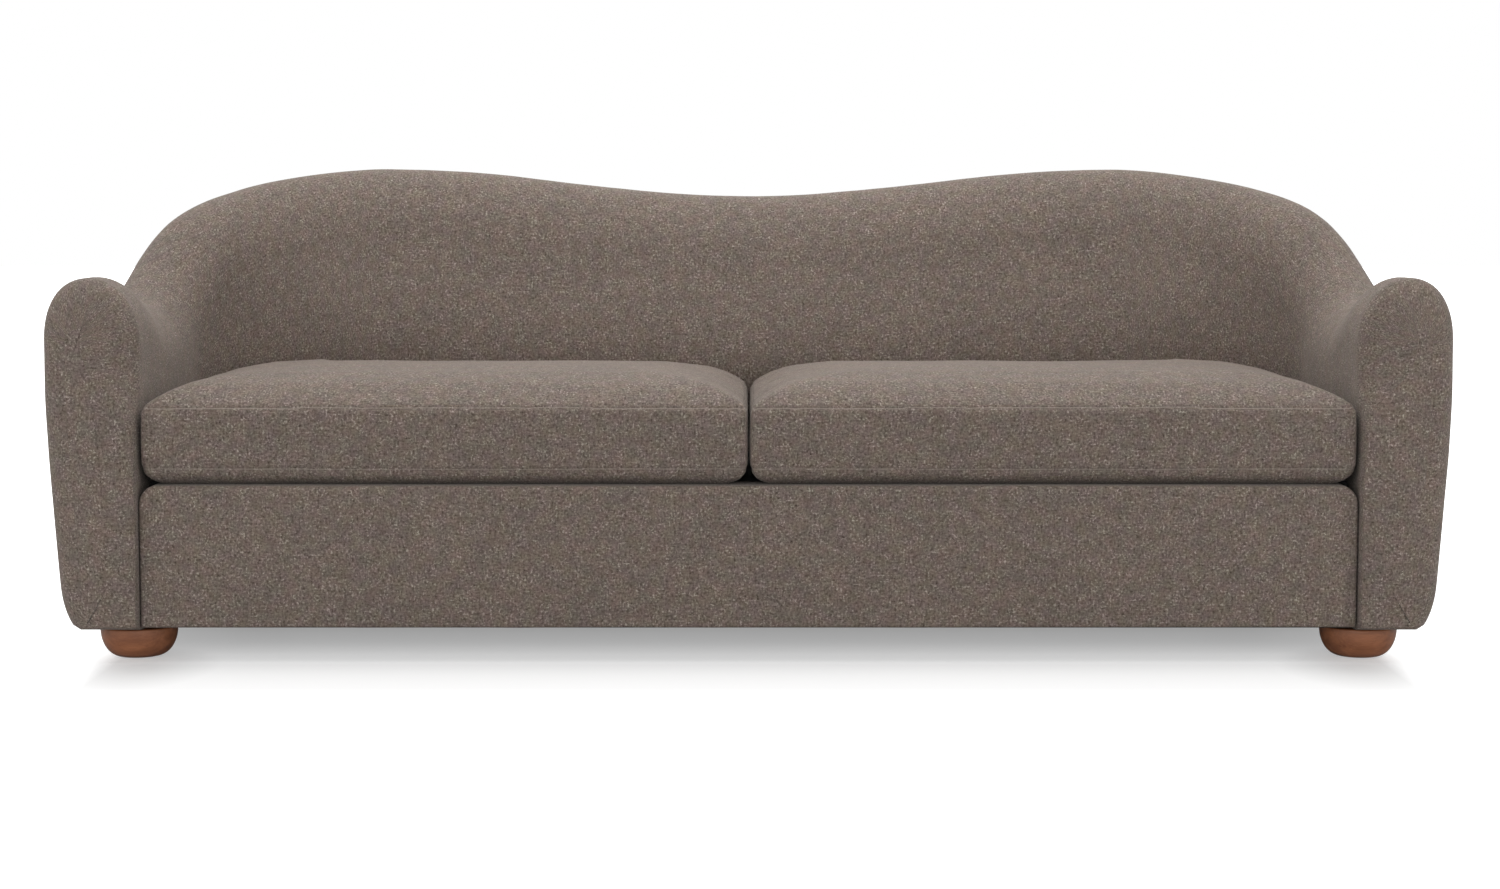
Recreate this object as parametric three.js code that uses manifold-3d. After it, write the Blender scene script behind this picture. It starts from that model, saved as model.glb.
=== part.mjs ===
// Camelback sofa: a double-humped back that sweeps round into wave-topped arms,
// two loose seat cushions, an upholstered front band and four turned bun feet.
// Millimetres, +Z up. The origin is on the floor under the middle of the sofa,
// the seat faces -Y and +X is on the right of someone looking at the front.
import * as THREE from "three";
import { mergeVertices } from "three/addons/utils/BufferGeometryUtils.js";
import Module from "manifold-3d";

const wasm = await Module();
wasm.setup();

// Driving dimensions: the whole sofa
const OVERALL_WIDTH = 2360;
const OVERALL_DEPTH = 980;
const HUMP_HEIGHT = 836;
const VALLEY_HEIGHT = 783;
const HUMP_X = 705; // from the middle to the top of each hump
const LOBE_HEIGHT = 644; // top of the arm at its front
const DIP_HEIGHT = 594; // lowest point of the arm's top line
const FLOOR_GAP = 52; // floor to the lower edge of the cover
const CORNER_RADIUS = 388; // plan radius of the crest line where back turns into arm
const CLEARANCE = 0.4; // kept between pieces that touch
const SEAM_GAP = 0.9; // kept between curved pieces that touch
const OVERRUN = 10; // how far a cutter runs past what it cuts
const FLATNESS = 1e-6; // area below which three points count as on one line
const MERGE_DISTANCE = 0.004; // below which two corners of a mesh are one

// Driving dimensions: the padded wall, measured from its crest line
const ARM_OUTER = 75;
const BACK_OUTER = 100;
const ARM_INNER = 84;
const BACK_INNER = 105;
const BACK_LEAN = 107; // how far the inside back comes forward, crest to seat
const LEAN_FOOT = 430; // height below which the inside back is upright
const ARM_CROWN = 107; // height of the rounded top
const BACK_CROWN = 120;
const CROWN_POWER = 2.25; // superellipse power of the rounded top, outside
const INNER_CROWN_POWER = 2; // and inside
const TAPER = 25; // how far the outside draws in by its lower edge
const TAPER_TOP = 450;
const TAPER_POWER = 1.3;
const ROLL = 28; // further draw-in where the cover rolls under
const ROLL_HEIGHT = 75;
const PAD_THICKNESS = 38;
const PANEL_THICKNESS = 12;
const SEAM_DROP = 125; // crest to the seam of the outside panels
const PANEL_LAP = 12; // upper edge of an outside panel above the ribs' step
const ARM_FRONT_DEPTH = 60; // padding in front of the arm's frame

// Driving dimensions: how far the rounding of an arm's front comes in
const ARM_EDGE = 46; // from the outside and the top
const ARM_SHOULDER_EDGE = 88; // from the inside, round the top
const ARM_INNER_EDGES = [5, 5, 24, 72]; // from the inside, at four heights
const ARM_FOOT_EDGE = 10; // from below

// Driving dimensions: base frame, ribs and rails
const BASE_TOP = 248;
const BASE_LIFT = 2; // lower edge of the cover to the underside of the rails
const RAIL_THICKNESS = 34;
const FRONT_RAIL_THICKNESS = 30;
const FRONT_RAIL_SETBACK = 2; // behind the front padding
const RIB_THICKNESS = 18;
const TOP_RAIL_THICKNESS = 26;
const TOP_RAIL_HEIGHT = 60;
const STRETCHER_THICKNESS = 28;
const STRETCHER_HEIGHT = 140;
const STRETCHER_INSET = 77; // from where the back starts to turn
const SPRING_RAIL_HEIGHT = 48;
const SPRING_RAIL_WIDTH = 120;
const SPRING_RAIL_REACH = 38; // its front edge in front of the inside back

// Driving dimensions: seat suspension and deck
const SPRINGS_PER_SEAT = 4;
const SPRING_WIDTH = 52;
const SPRING_WIRE = 4;
const SPRING_LOOPS = 12;
const SPRING_RISE = 9;
const SPRING_BITE = 18; // length of spring that lies on each rail
const WEB_THICKNESS = 2;
const WEB_WIDTH = 60;
const WEB_PITCH = 180; // least that the upright straps lie apart
const WEB_ROWS = 2;
const DECK_THICKNESS = 35;
const DECK_TOP = 297;
const NOSE_DEPTH = 50; // padding over the top of the front rail
const NOSE_THICKNESS = 41;
const DUST_COVER_THICKNESS = 1.2;
const DUST_COVER_LIFT = 0.5;

// Driving dimensions: front band
const BAND_SETBACK = 22; // behind the fronts of the arms
const BAND_SIDE_GAP = 1;
const BAND_LIFT = 6; // its lower edge above the arms' lower edge
const BAND_EDGE = 5;
const BAND_CORNER_RUN = 28;
const BAND_CORNER_DROP = 32;

// Driving dimensions: seat cushions
const CUSHION_SIDE_GAP = 3; // to the inside of the arm
const CUSHION_BACK_GAP = 3;
const CUSHION_MIDDLE_GAP = 3; // between the two cushions
const CUSHION_FRONT_SETBACK = 24; // behind the fronts of the arms
const CUSHION_CORNER = 24;
const CUSHION_LOWER_SEAM = 324;
const CUSHION_UPPER_SEAM = 430;
const CUSHION_CROWN = 55; // rise of the top above its seam
const CUSHION_CROWN_RUN = 240; // how far in from the edge the top keeps rising
const CUSHION_UNDER_RUN = 40; // how far in the underside keeps falling
const CUSHION_SEAM_PINCH = 3; // how far the seams draw in
const CUSHION_SIDE_SAG = 4; // how far the sides pull in between the corners
const COVER_THICKNESS = 10;
const ZIP_MARGIN = 78; // from each end of the cushion's straight back edge
const ZIP_HEIGHT = 9;
const ZIP_TAPE = 3;
const ZIP_PULL_THICKNESS = 4;
const ZIP_SLIDER_LENGTH = 12;
const ZIP_TAB_LENGTH = 28;
const ZIP_TAB_HEIGHT = 5;
const ZIP_TAB_THICKNESS = 1.5;

// Driving dimensions: feet
const FOOT_RADIUS = 65;
const FOOT_SOLE_RADIUS = 32;
const FOOT_INSET = 65; // crest line to the middle of a foot
const FRONT_FOOT_RUN = 40; // along the arm from its frame's front
const REAR_FOOT_CORNER_SHARE = 0.5; // of the way round the corner
const FOOT_ROUND_SHARE = 0.92; // of a foot's height that is rounded
const FOOT_NECK = 2; // draw-in at the top of a foot
const FOOT_BLOCK_HEIGHT = 40;
const FOOT_BLOCK_WIDTH = 110;
const FOOT_BLOCK_LENGTH = 110;
const BOLT_RADIUS = 5;
const BOLT_IN_FOOT = 30;

// Number of steps on curved stretches
const ARM_STEPS = 7;
const CORNER_STEPS = 8;
const BACK_STEPS = 7;
const CROWN_STEPS = 4;
const OUTSIDE_STEPS = 5;
const ROUND_STEPS = 24;
const BOLT_STEPS = 12;
const FOOT_STEPS = 5;
const SMALL_CORNER_STEPS = 3;

// Share of the climb from dip to hump, at shares of the way along the crest line
const RISE_SHARES = [
  [0, 0],
  [0.13, 0.02],
  [0.27, 0.22],
  [0.45, 0.64],
  [0.62, 0.83],
  [0.8, 0.945],
  [1, 1],
];
const LOBE_END_SHARE = 0.12; // of the arm, where its top starts to dip
const DIP_SHARE = 0.62; // of the arm, where its top is lowest
const INSIDE_HEIGHT_SHARES = [0, 0.35, 0.7]; // of the inside face, foot to crown
const SPRING_BEND_SHARES = [
  [0.62, 0.1],
  [1, 0.5],
  [0.62, 0.9],
]; // across half a loop and along it
const EDGE_ROUND_SHARES = [0, 0.5, 0.82, 0.96, 1]; // of the depth of an arm's front
const ARM_INNER_EDGE_SHARE = 0.5; // of the way from cushion seam to crown, the last height
const SAG_SHARES = [0.25, 0.5, 0.75]; // of a cushion's side, where it has points
const BACK_RIB_SHARE = 0.67; // of the straight back, from its middle to an outer rib
const CUSHION_CROWN_SHARES = [
  [0.05, 0.17],
  [0.15, 0.37],
  [0.3, 0.62],
  [0.6, 0.88],
  [1, 1],
];
const CUSHION_UNDER_SHARES = [
  [1, 1],
  [0.45, 0.86],
  [0.16, 0.5],
];

// Materials
const FABRIC = { color: 0x6c6058, roughness: 0.95, metalness: 0 };
const UNDERCLOTH = { color: 0x2b2a2a, roughness: 0.95, metalness: 0 };
const ZIP_CLOTH = { color: 0x5c544c, roughness: 0.9, metalness: 0 };
const FOAM = { color: 0xe6d9ae, roughness: 0.9, metalness: 0 };
const PLYWOOD = { color: 0xc9a878, roughness: 0.7, metalness: 0 };
const WEBBING = { color: 0x4b4138, roughness: 0.9, metalness: 0 };
const FOOT_WOOD = { color: 0x7a4b36, roughness: 0.45, metalness: 0 };
const STEEL = { color: 0x9a9a98, roughness: 0.4, metalness: 1 };

// Values worked out from the driving dimensions
const CREST_X = OVERALL_WIDTH / 2 - ARM_OUTER;
const CREST_Y = OVERALL_DEPTH / 2 - BACK_OUTER;
const FRONT_Y = -OVERALL_DEPTH / 2;
const ARM_FRAME_Y = FRONT_Y + ARM_FRONT_DEPTH;
const CORNER_X = CREST_X - CORNER_RADIUS;
const CORNER_Y = CREST_Y - CORNER_RADIUS;
const ARM_LENGTH = CORNER_Y - ARM_FRAME_Y;
const CORNER_LENGTH = (CORNER_RADIUS * Math.PI) / 2;
const HALF_LENGTH = ARM_LENGTH + CORNER_LENGTH + CORNER_X;
const HUMP_RUN = HALF_LENGTH - HUMP_X;
const BASE_BOTTOM = FLOOR_GAP + BASE_LIFT;
const FRONT_RAIL_Y = ARM_FRAME_Y + FRONT_RAIL_SETBACK;
const FRONT_RAIL_BACK = FRONT_RAIL_Y + FRONT_RAIL_THICKNESS;
const INSIDE_BACK_Y = CREST_Y - BACK_INNER - BACK_LEAN;
const SPRING_RAIL_Y = INSIDE_BACK_Y - SPRING_RAIL_REACH;
const SPRING_RAIL_BACK = SPRING_RAIL_Y + SPRING_RAIL_WIDTH;

const sofa = new THREE.Group();

// Helpers

const mix = (a, b, share) => a + (b - a) * share;
const clamp01 = (value) => Math.min(1, Math.max(0, value));
const ease = (share) => (1 - Math.cos(Math.PI * clamp01(share))) / 2;

// A smooth curve through a table of [place, value] rows, level at both ends.
function throughTable(table, at) {
  const last = table.length - 1;
  const slope = (i) =>
    i === 0 || i === last
      ? 0
      : (table[i + 1][1] - table[i - 1][1]) / (table[i + 1][0] - table[i - 1][0]);
  const x = clamp01(at) * table[last][0];
  let i = 0;
  while (i < last - 1 && x > table[i + 1][0]) i += 1;
  const run = table[i + 1][0] - table[i][0];
  const t = (x - table[i][0]) / run;
  const square = t * t;
  const cube = square * t;
  return (
    table[i][1] * (2 * cube - 3 * square + 1) +
    slope(i) * run * (cube - 2 * square + t) +
    table[i + 1][1] * (3 * square - 2 * cube) +
    slope(i + 1) * run * (cube - square)
  );
}

function addMesh(name, geometry, look) {
  const mesh = new THREE.Mesh(geometry, new THREE.MeshStandardMaterial(look));
  mesh.name = name;
  sofa.add(mesh);
  return mesh;
}

// A closed geometry from points and triangles, turned so that its faces point out.
function closedGeometry(points, faces) {
  let volume = 0;
  for (let i = 0; i < faces.length; i += 3) {
    const [a, b, c] = [points[faces[i]], points[faces[i + 1]], points[faces[i + 2]]];
    volume +=
      a[0] * (b[1] * c[2] - b[2] * c[1]) +
      a[1] * (b[2] * c[0] - b[0] * c[2]) +
      a[2] * (b[0] * c[1] - b[1] * c[0]);
  }
  const index = volume < 0 ? faces.slice().reverse() : faces;
  const geometry = new THREE.BufferGeometry();
  geometry.setAttribute("position", new THREE.Float32BufferAttribute(points.flat(), 3));
  geometry.setIndex(index);
  return geometry;
}

// Triangles that fill an outline. Points on a straight edge are kept, so that the
// fill meets the faces beside it point for point.
function fillOutline(outline) {
  const turn = (a, b, c) => (b[0] - a[0]) * (c[1] - a[1]) - (b[1] - a[1]) * (c[0] - a[0]);
  const area = outline.reduce((sum, point, i) => {
    const next = outline[(i + 1) % outline.length];
    return sum + point[0] * next[1] - next[0] * point[1];
  }, 0);
  const left = outline.map((point, i) => i);
  if (area < 0) left.reverse();
  const faces = [];
  while (left.length > 2) {
    let best = { quality: 0, place: -1 };
    left.forEach((middle, place) => {
      const before = left[(place + left.length - 1) % left.length];
      const after = left[(place + 1) % left.length];
      const [a, b, c] = [outline[before], outline[middle], outline[after]];
      const sides = [
        [a, b],
        [b, c],
        [c, a],
      ];
      const longest = Math.max(...sides.map(([p, q]) => Math.hypot(p[0] - q[0], p[1] - q[1])));
      const quality = turn(a, b, c) / longest ** 2;
      if (quality <= best.quality) return;
      const blocked = left.some((other) => {
        if (other === before || other === middle || other === after) return false;
        return sides.every(([p, q]) => turn(p, q, outline[other]) >= -FLATNESS);
      });
      if (!blocked) best = { quality, place };
    });
    const { place } = best;
    if (place < 0) throw new Error("an outline could not be filled");
    const before = left[(place + left.length - 1) % left.length];
    const after = left[(place + 1) % left.length];
    faces.push(area < 0 ? [after, left[place], before] : [before, left[place], after]);
    left.splice(place, 1);
  }
  return faces;
}

// Joins rings of equally many points into one closed solid. flatOf gives the two
// coordinates in which an end ring is flat, for filling it in.
function loftRings(rings, flatOf) {
  const count = rings[0].length;
  const faces = [];
  const apart = (p, q) => Math.hypot(p[0] - q[0], p[1] - q[1], p[2] - q[2]);
  for (let r = 0; r < rings.length - 1; r += 1) {
    for (let i = 0; i < count; i += 1) {
      const next = (i + 1) % count;
      const [a, b] = [r * count + i, r * count + next];
      const [c, d] = [b + count, a + count];
      const forward = apart(rings[r][i], rings[r + 1][next]);
      // The shorter diagonal is taken, so that surfaces one above the other agree.
      if (forward < apart(rings[r][next], rings[r + 1][i])) faces.push(a, b, c, a, c, d);
      else faces.push(a, b, d, b, c, d);
    }
  }
  const fill = (r) => fillOutline(rings[r].map((point, i) => flatOf(r, i, point)));
  const last = rings.length - 1;
  for (const [a, b, c] of fill(0)) faces.push(c, b, a);
  for (const [a, b, c] of fill(last)) {
    faces.push(last * count + a, last * count + b, last * count + c);
  }
  return closedGeometry(rings.flat(), faces);
}

function boxGeometry(low, high) {
  const size = high.map((value, axis) => value - low[axis]);
  const geometry = new THREE.BoxGeometry(...size);
  geometry.translate(...low.map((value, axis) => value + size[axis] / 2));
  return geometry;
}

// A flat slab with the given outline in plan.
function slabGeometry(outline, low, high) {
  const rings = [low, high].map((z) => outline.map(([x, y]) => [x, y, z]));
  return loftRings(rings, (r, i, [x, y]) => [x, y]);
}

function solidOf(geometry) {
  const bare = geometry.clone();
  bare.deleteAttribute("normal");
  bare.deleteAttribute("uv");
  const merged = mergeVertices(bare, MERGE_DISTANCE);
  return new wasm.Manifold(
    new wasm.Mesh({
      numProp: 3,
      vertProperties: new Float32Array(merged.attributes.position.array),
      triVerts: new Uint32Array(merged.index.array),
    }),
  );
}

function geometryOf(solid) {
  const mesh = solid.getMesh();
  const geometry = new THREE.BufferGeometry();
  geometry.setAttribute("position", new THREE.BufferAttribute(mesh.vertProperties, mesh.numProp));
  geometry.setIndex(new THREE.BufferAttribute(mesh.triVerts, 1));
  return geometry;
}

const cut = (geometry, ...cutters) =>
  geometryOf(cutters.reduce((solid, cutter) => solid.subtract(solidOf(cutter)), solidOf(geometry)));
const join = (geometry, ...others) =>
  geometryOf(others.reduce((solid, other) => solid.add(solidOf(other)), solidOf(geometry)));

// The crest line: up the left arm, round the corner, along the back and down the right.
// A station holds a place on it, the outward direction there, its height and how much
// its section is the back's (1) or the arm's (0).

function crestHeight(run) {
  const lobeEnd = ARM_LENGTH * LOBE_END_SHARE;
  const dip = ARM_LENGTH * DIP_SHARE;
  if (run < dip) return mix(LOBE_HEIGHT, DIP_HEIGHT, ease((run - lobeEnd) / (dip - lobeEnd)));
  if (run < HUMP_RUN) {
    const climbed = throughTable(RISE_SHARES, (run - dip) / (HUMP_RUN - dip));
    return mix(DIP_HEIGHT, HUMP_HEIGHT, climbed);
  }
  return mix(HUMP_HEIGHT, VALLEY_HEIGHT, ease((run - HUMP_RUN) / (HALF_LENGTH - HUMP_RUN)));
}

function stationAt(run) {
  const onCorner = clamp01((run - ARM_LENGTH) / CORNER_LENGTH);
  const angle = (onCorner * Math.PI) / 2;
  const outward = [-Math.cos(angle), Math.sin(angle)];
  const alongBack = Math.max(0, run - ARM_LENGTH - CORNER_LENGTH);
  const x = -CORNER_X + outward[0] * CORNER_RADIUS + alongBack;
  const y = CORNER_Y + outward[1] * CORNER_RADIUS - Math.max(0, ARM_LENGTH - run);
  return { run, x, y, outward, height: crestHeight(run), backness: ease(onCorner) };
}

function mirrored(station) {
  return {
    ...station,
    run: 2 * HALF_LENGTH - station.run,
    x: -station.x,
    outward: [-station.outward[0], station.outward[1]],
  };
}

function makeStations() {
  const runs = [];
  for (let i = 0; i < ARM_STEPS; i += 1) runs.push((ARM_LENGTH * i) / ARM_STEPS);
  for (let i = 0; i < CORNER_STEPS; i += 1) {
    runs.push(ARM_LENGTH + (CORNER_LENGTH * i) / CORNER_STEPS);
  }
  for (let i = 0; i <= BACK_STEPS; i += 1) {
    runs.push(ARM_LENGTH + CORNER_LENGTH + (CORNER_X * i) / BACK_STEPS);
  }
  const left = runs.map(stationAt);
  return [...left, ...left.slice(0, -1).reverse().map(mirrored)];
}

const STATIONS = makeStations();
const FULL_LENGTH = 2 * HALF_LENGTH;

// A station part way between two others, on the straight line that joins them.
function between(run) {
  let i = 0;
  while (i < STATIONS.length - 2 && run >= STATIONS[i + 1].run) i += 1;
  const [a, b] = [STATIONS[i], STATIONS[i + 1]];
  const share = clamp01((run - a.run) / (b.run - a.run));
  return {
    run,
    x: mix(a.x, b.x, share),
    y: mix(a.y, b.y, share),
    outward: [mix(a.outward[0], b.outward[0], share), mix(a.outward[1], b.outward[1], share)],
    height: mix(a.height, b.height, share),
    backness: mix(a.backness, b.backness, share),
  };
}

function stationsFrom(start, end) {
  const inside = STATIONS.filter((station) => station.run > start && station.run < end);
  return [between(start), ...inside, between(end)];
}

const placed = (station, [out, z]) => [
  station.x + station.outward[0] * out,
  station.y + station.outward[1] * out,
  z,
];

// Sweeps a section along the crest line. sectionOf gives [out, z] points at a station.
function sweep(start, end, sectionOf) {
  const stations = stationsFrom(start, end);
  const sections = stations.map(sectionOf);
  const rings = sections.map((section, i) => section.map((point) => placed(stations[i], point)));
  return loftRings(rings, (r, i) => sections[r][i]);
}

// The padded wall's section. inset is how far inside the cover a surface lies.

const outerHalf = (station) => mix(ARM_OUTER, BACK_OUTER, station.backness);
const innerHalf = (station) => mix(ARM_INNER, BACK_INNER, station.backness);
const crownHeight = (station) => mix(ARM_CROWN, BACK_CROWN, station.backness);
const crownFoot = (station) => station.height - crownHeight(station);

function leanAt(station, z) {
  const share = (station.height - z) / (station.height - LEAN_FOOT);
  return BACK_LEAN * station.backness * ease(share);
}

function drawIn(z) {
  const share = clamp01((TAPER_TOP - z) / (TAPER_TOP - FLOOR_GAP));
  const rolled = clamp01((FLOOR_GAP + ROLL_HEIGHT - z) / ROLL_HEIGHT);
  return TAPER * share ** TAPER_POWER + ROLL * (1 - Math.sqrt(1 - rolled * rolled));
}

const insideAt = (station, z, inset) => [inset - innerHalf(station) - leanAt(station, z), z];
const outsideAt = (station, z, inset) => [outerHalf(station) - inset - drawIn(z), z];

// Points over the rounded top, from the inside face to the outside face.
function crownPoints(station, inset) {
  const points = [];
  const rise = crownHeight(station) - inset;
  for (let i = 0; i <= 2 * CROWN_STEPS; i += 1) {
    const angle = (i * Math.PI) / (2 * CROWN_STEPS);
    const power = i < CROWN_STEPS ? INNER_CROWN_POWER : CROWN_POWER;
    const across = Math.abs(Math.cos(angle)) ** (2 / power);
    const z = crownFoot(station) + rise * Math.sin(angle) ** (2 / power);
    if (i < CROWN_STEPS) {
      points.push([-(innerHalf(station) - inset) * across - leanAt(station, z), z]);
    } else if (i === CROWN_STEPS) {
      points.push([-leanAt(station, z), z]);
    } else {
      points.push([(outerHalf(station) - inset) * across, z]);
    }
  }
  return points;
}

function insidePoints(station, foot, inset) {
  return INSIDE_HEIGHT_SHARES.map((share) =>
    insideAt(station, mix(foot, crownFoot(station), share), inset),
  );
}

// Where a line of points passes a value of one coordinate (0 or 1), the other one.
function readLine(points, coordinate, value) {
  const next = points.findIndex((point) => point[coordinate] > value);
  const [from, to] = [points[next - 1], points[next]];
  const share = (value - from[coordinate]) / (to[coordinate] - from[coordinate]);
  return mix(from[1 - coordinate], to[1 - coordinate], share);
}

function underCrown(station, half) {
  const lining = crownPoints(station, PAD_THICKNESS);
  return Math.min(readLine(lining, 0, -half), readLine(lining, 0, half)) - SEAM_GAP;
}

function panelFace(station, inset) {
  const points = [];
  for (let i = 0; i <= OUTSIDE_STEPS; i += 1) {
    const z = mix(FLOOR_GAP, seamHeight(station) - SEAM_GAP, (i / OUTSIDE_STEPS) ** 2);
    points.push(outsideAt(station, z, inset));
  }
  return points;
}

const panelLining = (station) => panelFace(station, PANEL_THICKNESS);
const seamHeight = (station) => station.height - SEAM_DROP;
const topRailFoot = (station) =>
  underCrown(station, TOP_RAIL_THICKNESS / 2) - TOP_RAIL_HEIGHT;
const baseOuter = (station) =>
  outerHalf(station) - PANEL_THICKNESS - drawIn(FLOOR_GAP) - CLEARANCE;

// Base frame: rails, stretchers and foot blocks

function baseRailSection(station) {
  const outer = baseOuter(station);
  const inner = outer - RAIL_THICKNESS;
  return [
    [inner, BASE_BOTTOM],
    [outer, BASE_BOTTOM],
    [outer, BASE_TOP],
    [inner, BASE_TOP],
  ];
}

const SIDE_RAIL_START = FRONT_RAIL_BACK + CLEARANCE - ARM_FRAME_Y;
const CORNER_END = ARM_LENGTH + CORNER_LENGTH;

// The spring rail reaches the inner faces of the side rails at its rear edge.
const SIDE_RAIL_INNER = STATIONS.map((station) =>
  placed(station, [baseOuter(station) - RAIL_THICKNESS, 0]),
);
const SPRING_RAIL_HALF = -readLine(SIDE_RAIL_INNER, 1, SPRING_RAIL_BACK) - CLEARANCE;

function addBaseFrame() {
  const railX = CREST_X + baseOuter(STATIONS[0]);
  addMesh(
    "front_rail",
    boxGeometry([-railX, FRONT_RAIL_Y, BASE_BOTTOM], [railX, FRONT_RAIL_BACK, BASE_TOP]),
    PLYWOOD,
  );
  addMesh("left_side_rail", sweep(SIDE_RAIL_START, CORNER_END, baseRailSection), PLYWOOD);
  addMesh(
    "right_side_rail",
    sweep(FULL_LENGTH - CORNER_END, FULL_LENGTH - SIDE_RAIL_START, baseRailSection),
    PLYWOOD,
  );
  addMesh(
    "rear_rail",
    sweep(CORNER_END + CLEARANCE, FULL_LENGTH - CORNER_END - CLEARANCE, baseRailSection),
    PLYWOOD,
  );

  const rearInner = CREST_Y + baseOuter(between(HALF_LENGTH)) - RAIL_THICKNESS;
  const stretcherTop = BASE_TOP - SPRING_RAIL_HEIGHT - CLEARANCE;
  const stretcherX = CORNER_X - STRETCHER_INSET;
  [-stretcherX, 0, stretcherX].forEach((x, i) => {
    addMesh(
      ["left_stretcher", "centre_stretcher", "right_stretcher"][i],
      boxGeometry(
        [
          x - STRETCHER_THICKNESS / 2,
          FRONT_RAIL_BACK + CLEARANCE,
          stretcherTop - STRETCHER_HEIGHT,
        ],
        [x + STRETCHER_THICKNESS / 2, rearInner - CLEARANCE, stretcherTop],
      ),
      PLYWOOD,
    );
  });
  addMesh(
    "spring_rail",
    boxGeometry(
      [-SPRING_RAIL_HALF, SPRING_RAIL_Y, BASE_TOP - SPRING_RAIL_HEIGHT],
      [SPRING_RAIL_HALF, SPRING_RAIL_BACK, BASE_TOP],
    ),
    PLYWOOD,
  );
}

const REAR_FOOT_RUN = ARM_LENGTH + CORNER_LENGTH * REAR_FOOT_CORNER_SHARE;
const FOOT_RUNS = {
  front_left: FRONT_FOOT_RUN,
  rear_left: REAR_FOOT_RUN,
  rear_right: FULL_LENGTH - REAR_FOOT_RUN,
  front_right: FULL_LENGTH - FRONT_FOOT_RUN,
};

const footCentre = (run) => placed(between(run), [-FOOT_INSET, 0]);

function cylinderGeometry(radius, low, high, [x, y], steps) {
  const geometry = new THREE.CylinderGeometry(radius, radius, high - low, steps);
  geometry.rotateX(Math.PI / 2);
  geometry.translate(x, y, (low + high) / 2);
  return geometry;
}

function addFootBlock(name, run) {
  const blockSection = (station) => {
    const outer = baseOuter(station) - RAIL_THICKNESS - CLEARANCE;
    return [
      [outer - FOOT_BLOCK_WIDTH, BASE_BOTTOM],
      [outer, BASE_BOTTOM],
      [outer, BASE_BOTTOM + FOOT_BLOCK_HEIGHT],
      [outer - FOOT_BLOCK_WIDTH, BASE_BOTTOM + FOOT_BLOCK_HEIGHT],
    ];
  };
  const start = Math.max(SIDE_RAIL_START, run - FOOT_BLOCK_LENGTH / 2);
  const end = Math.min(FULL_LENGTH - SIDE_RAIL_START, run + FOOT_BLOCK_LENGTH / 2);
  const hole = cylinderGeometry(
    BOLT_RADIUS + CLEARANCE,
    BASE_BOTTOM - OVERRUN,
    BASE_BOTTOM + FOOT_BLOCK_HEIGHT + OVERRUN,
    footCentre(run),
    BOLT_STEPS,
  );
  addMesh(`${name}_foot_block`, cut(sweep(start, end, blockSection), hole), PLYWOOD);
}

// Feet: a turned bun with a steel hanger bolt that screws up into the foot block

function addFoot(name, run) {
  const [x, y] = footCentre(run);
  const top = FLOOR_GAP - CLEARANCE;
  const boltFoot = top - BOLT_IN_FOOT;
  const bore = BOLT_RADIUS + CLEARANCE;
  const round = [];
  for (let i = 0; i <= FOOT_STEPS; i += 1) {
    const angle = (i * Math.PI) / (2 * FOOT_STEPS);
    const radius = mix(FOOT_SOLE_RADIUS, FOOT_RADIUS, Math.sin(angle));
    round.push(new THREE.Vector2(radius, top * FOOT_ROUND_SHARE * (1 - Math.cos(angle))));
  }
  const profile = [
    new THREE.Vector2(0, 0),
    ...round,
    new THREE.Vector2(FOOT_RADIUS - FOOT_NECK, top),
    new THREE.Vector2(bore, top),
    new THREE.Vector2(bore, boltFoot),
    new THREE.Vector2(0, boltFoot),
  ];
  const turned = new THREE.LatheGeometry(profile, ROUND_STEPS);
  turned.rotateX(Math.PI / 2);
  const foot = addMesh(`${name}_foot`, turned, FOOT_WOOD);
  foot.position.set(x, y, 0);

  const boltTop = BASE_BOTTOM + FOOT_BLOCK_HEIGHT;
  const bolt = cylinderGeometry(BOLT_RADIUS, boltFoot + CLEARANCE, boltTop, [x, y], BOLT_STEPS);
  addMesh(`${name}_foot_bolt`, bolt, STEEL);
}

// Top rails: boards that follow the crest line under the padding

function topRailSection(station, clearance) {
  const half = TOP_RAIL_THICKNESS / 2 + clearance;
  const top = underCrown(station, TOP_RAIL_THICKNESS / 2) + clearance;
  const foot = topRailFoot(station) - clearance;
  return [
    [-half, foot],
    [half, foot],
    [half, top],
    [-half, top],
  ];
}

function addTopRails() {
  const rail = (start, end) => sweep(start, end, (station) => topRailSection(station, 0));
  addMesh("left_arm_top_rail", rail(CLEARANCE, CORNER_END), PLYWOOD);
  addMesh(
    "crest_rail",
    rail(CORNER_END + CLEARANCE, FULL_LENGTH - CORNER_END - CLEARANCE),
    PLYWOOD,
  );
  addMesh("right_arm_top_rail", rail(FULL_LENGTH - CORNER_END, FULL_LENGTH - CLEARANCE), PLYWOOD);
}

// Ribs: plywood profiles that stand on the base rails and give the wall its shape

function ribSection(station) {
  const inset = PAD_THICKNESS + CLEARANCE + WEB_THICKNESS + CLEARANCE;
  const foot = BASE_TOP + CLEARANCE;
  const step = seamHeight(station) - PANEL_LAP;
  const lining = panelLining(station);
  const outside = [step, foot].map((z) => [readLine(lining, 1, z) - SEAM_GAP, z]);
  const facets = lining
    .filter(([out, z]) => z > foot && z < step)
    .map(([out, z]) => [out - SEAM_GAP, z]);
  return [
    ...insidePoints(station, foot, inset),
    ...crownPoints(station, inset),
    [outerHalf(station) - inset, step],
    outside[0],
    ...facets.reverse(),
    outside[1],
  ];
}

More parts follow.
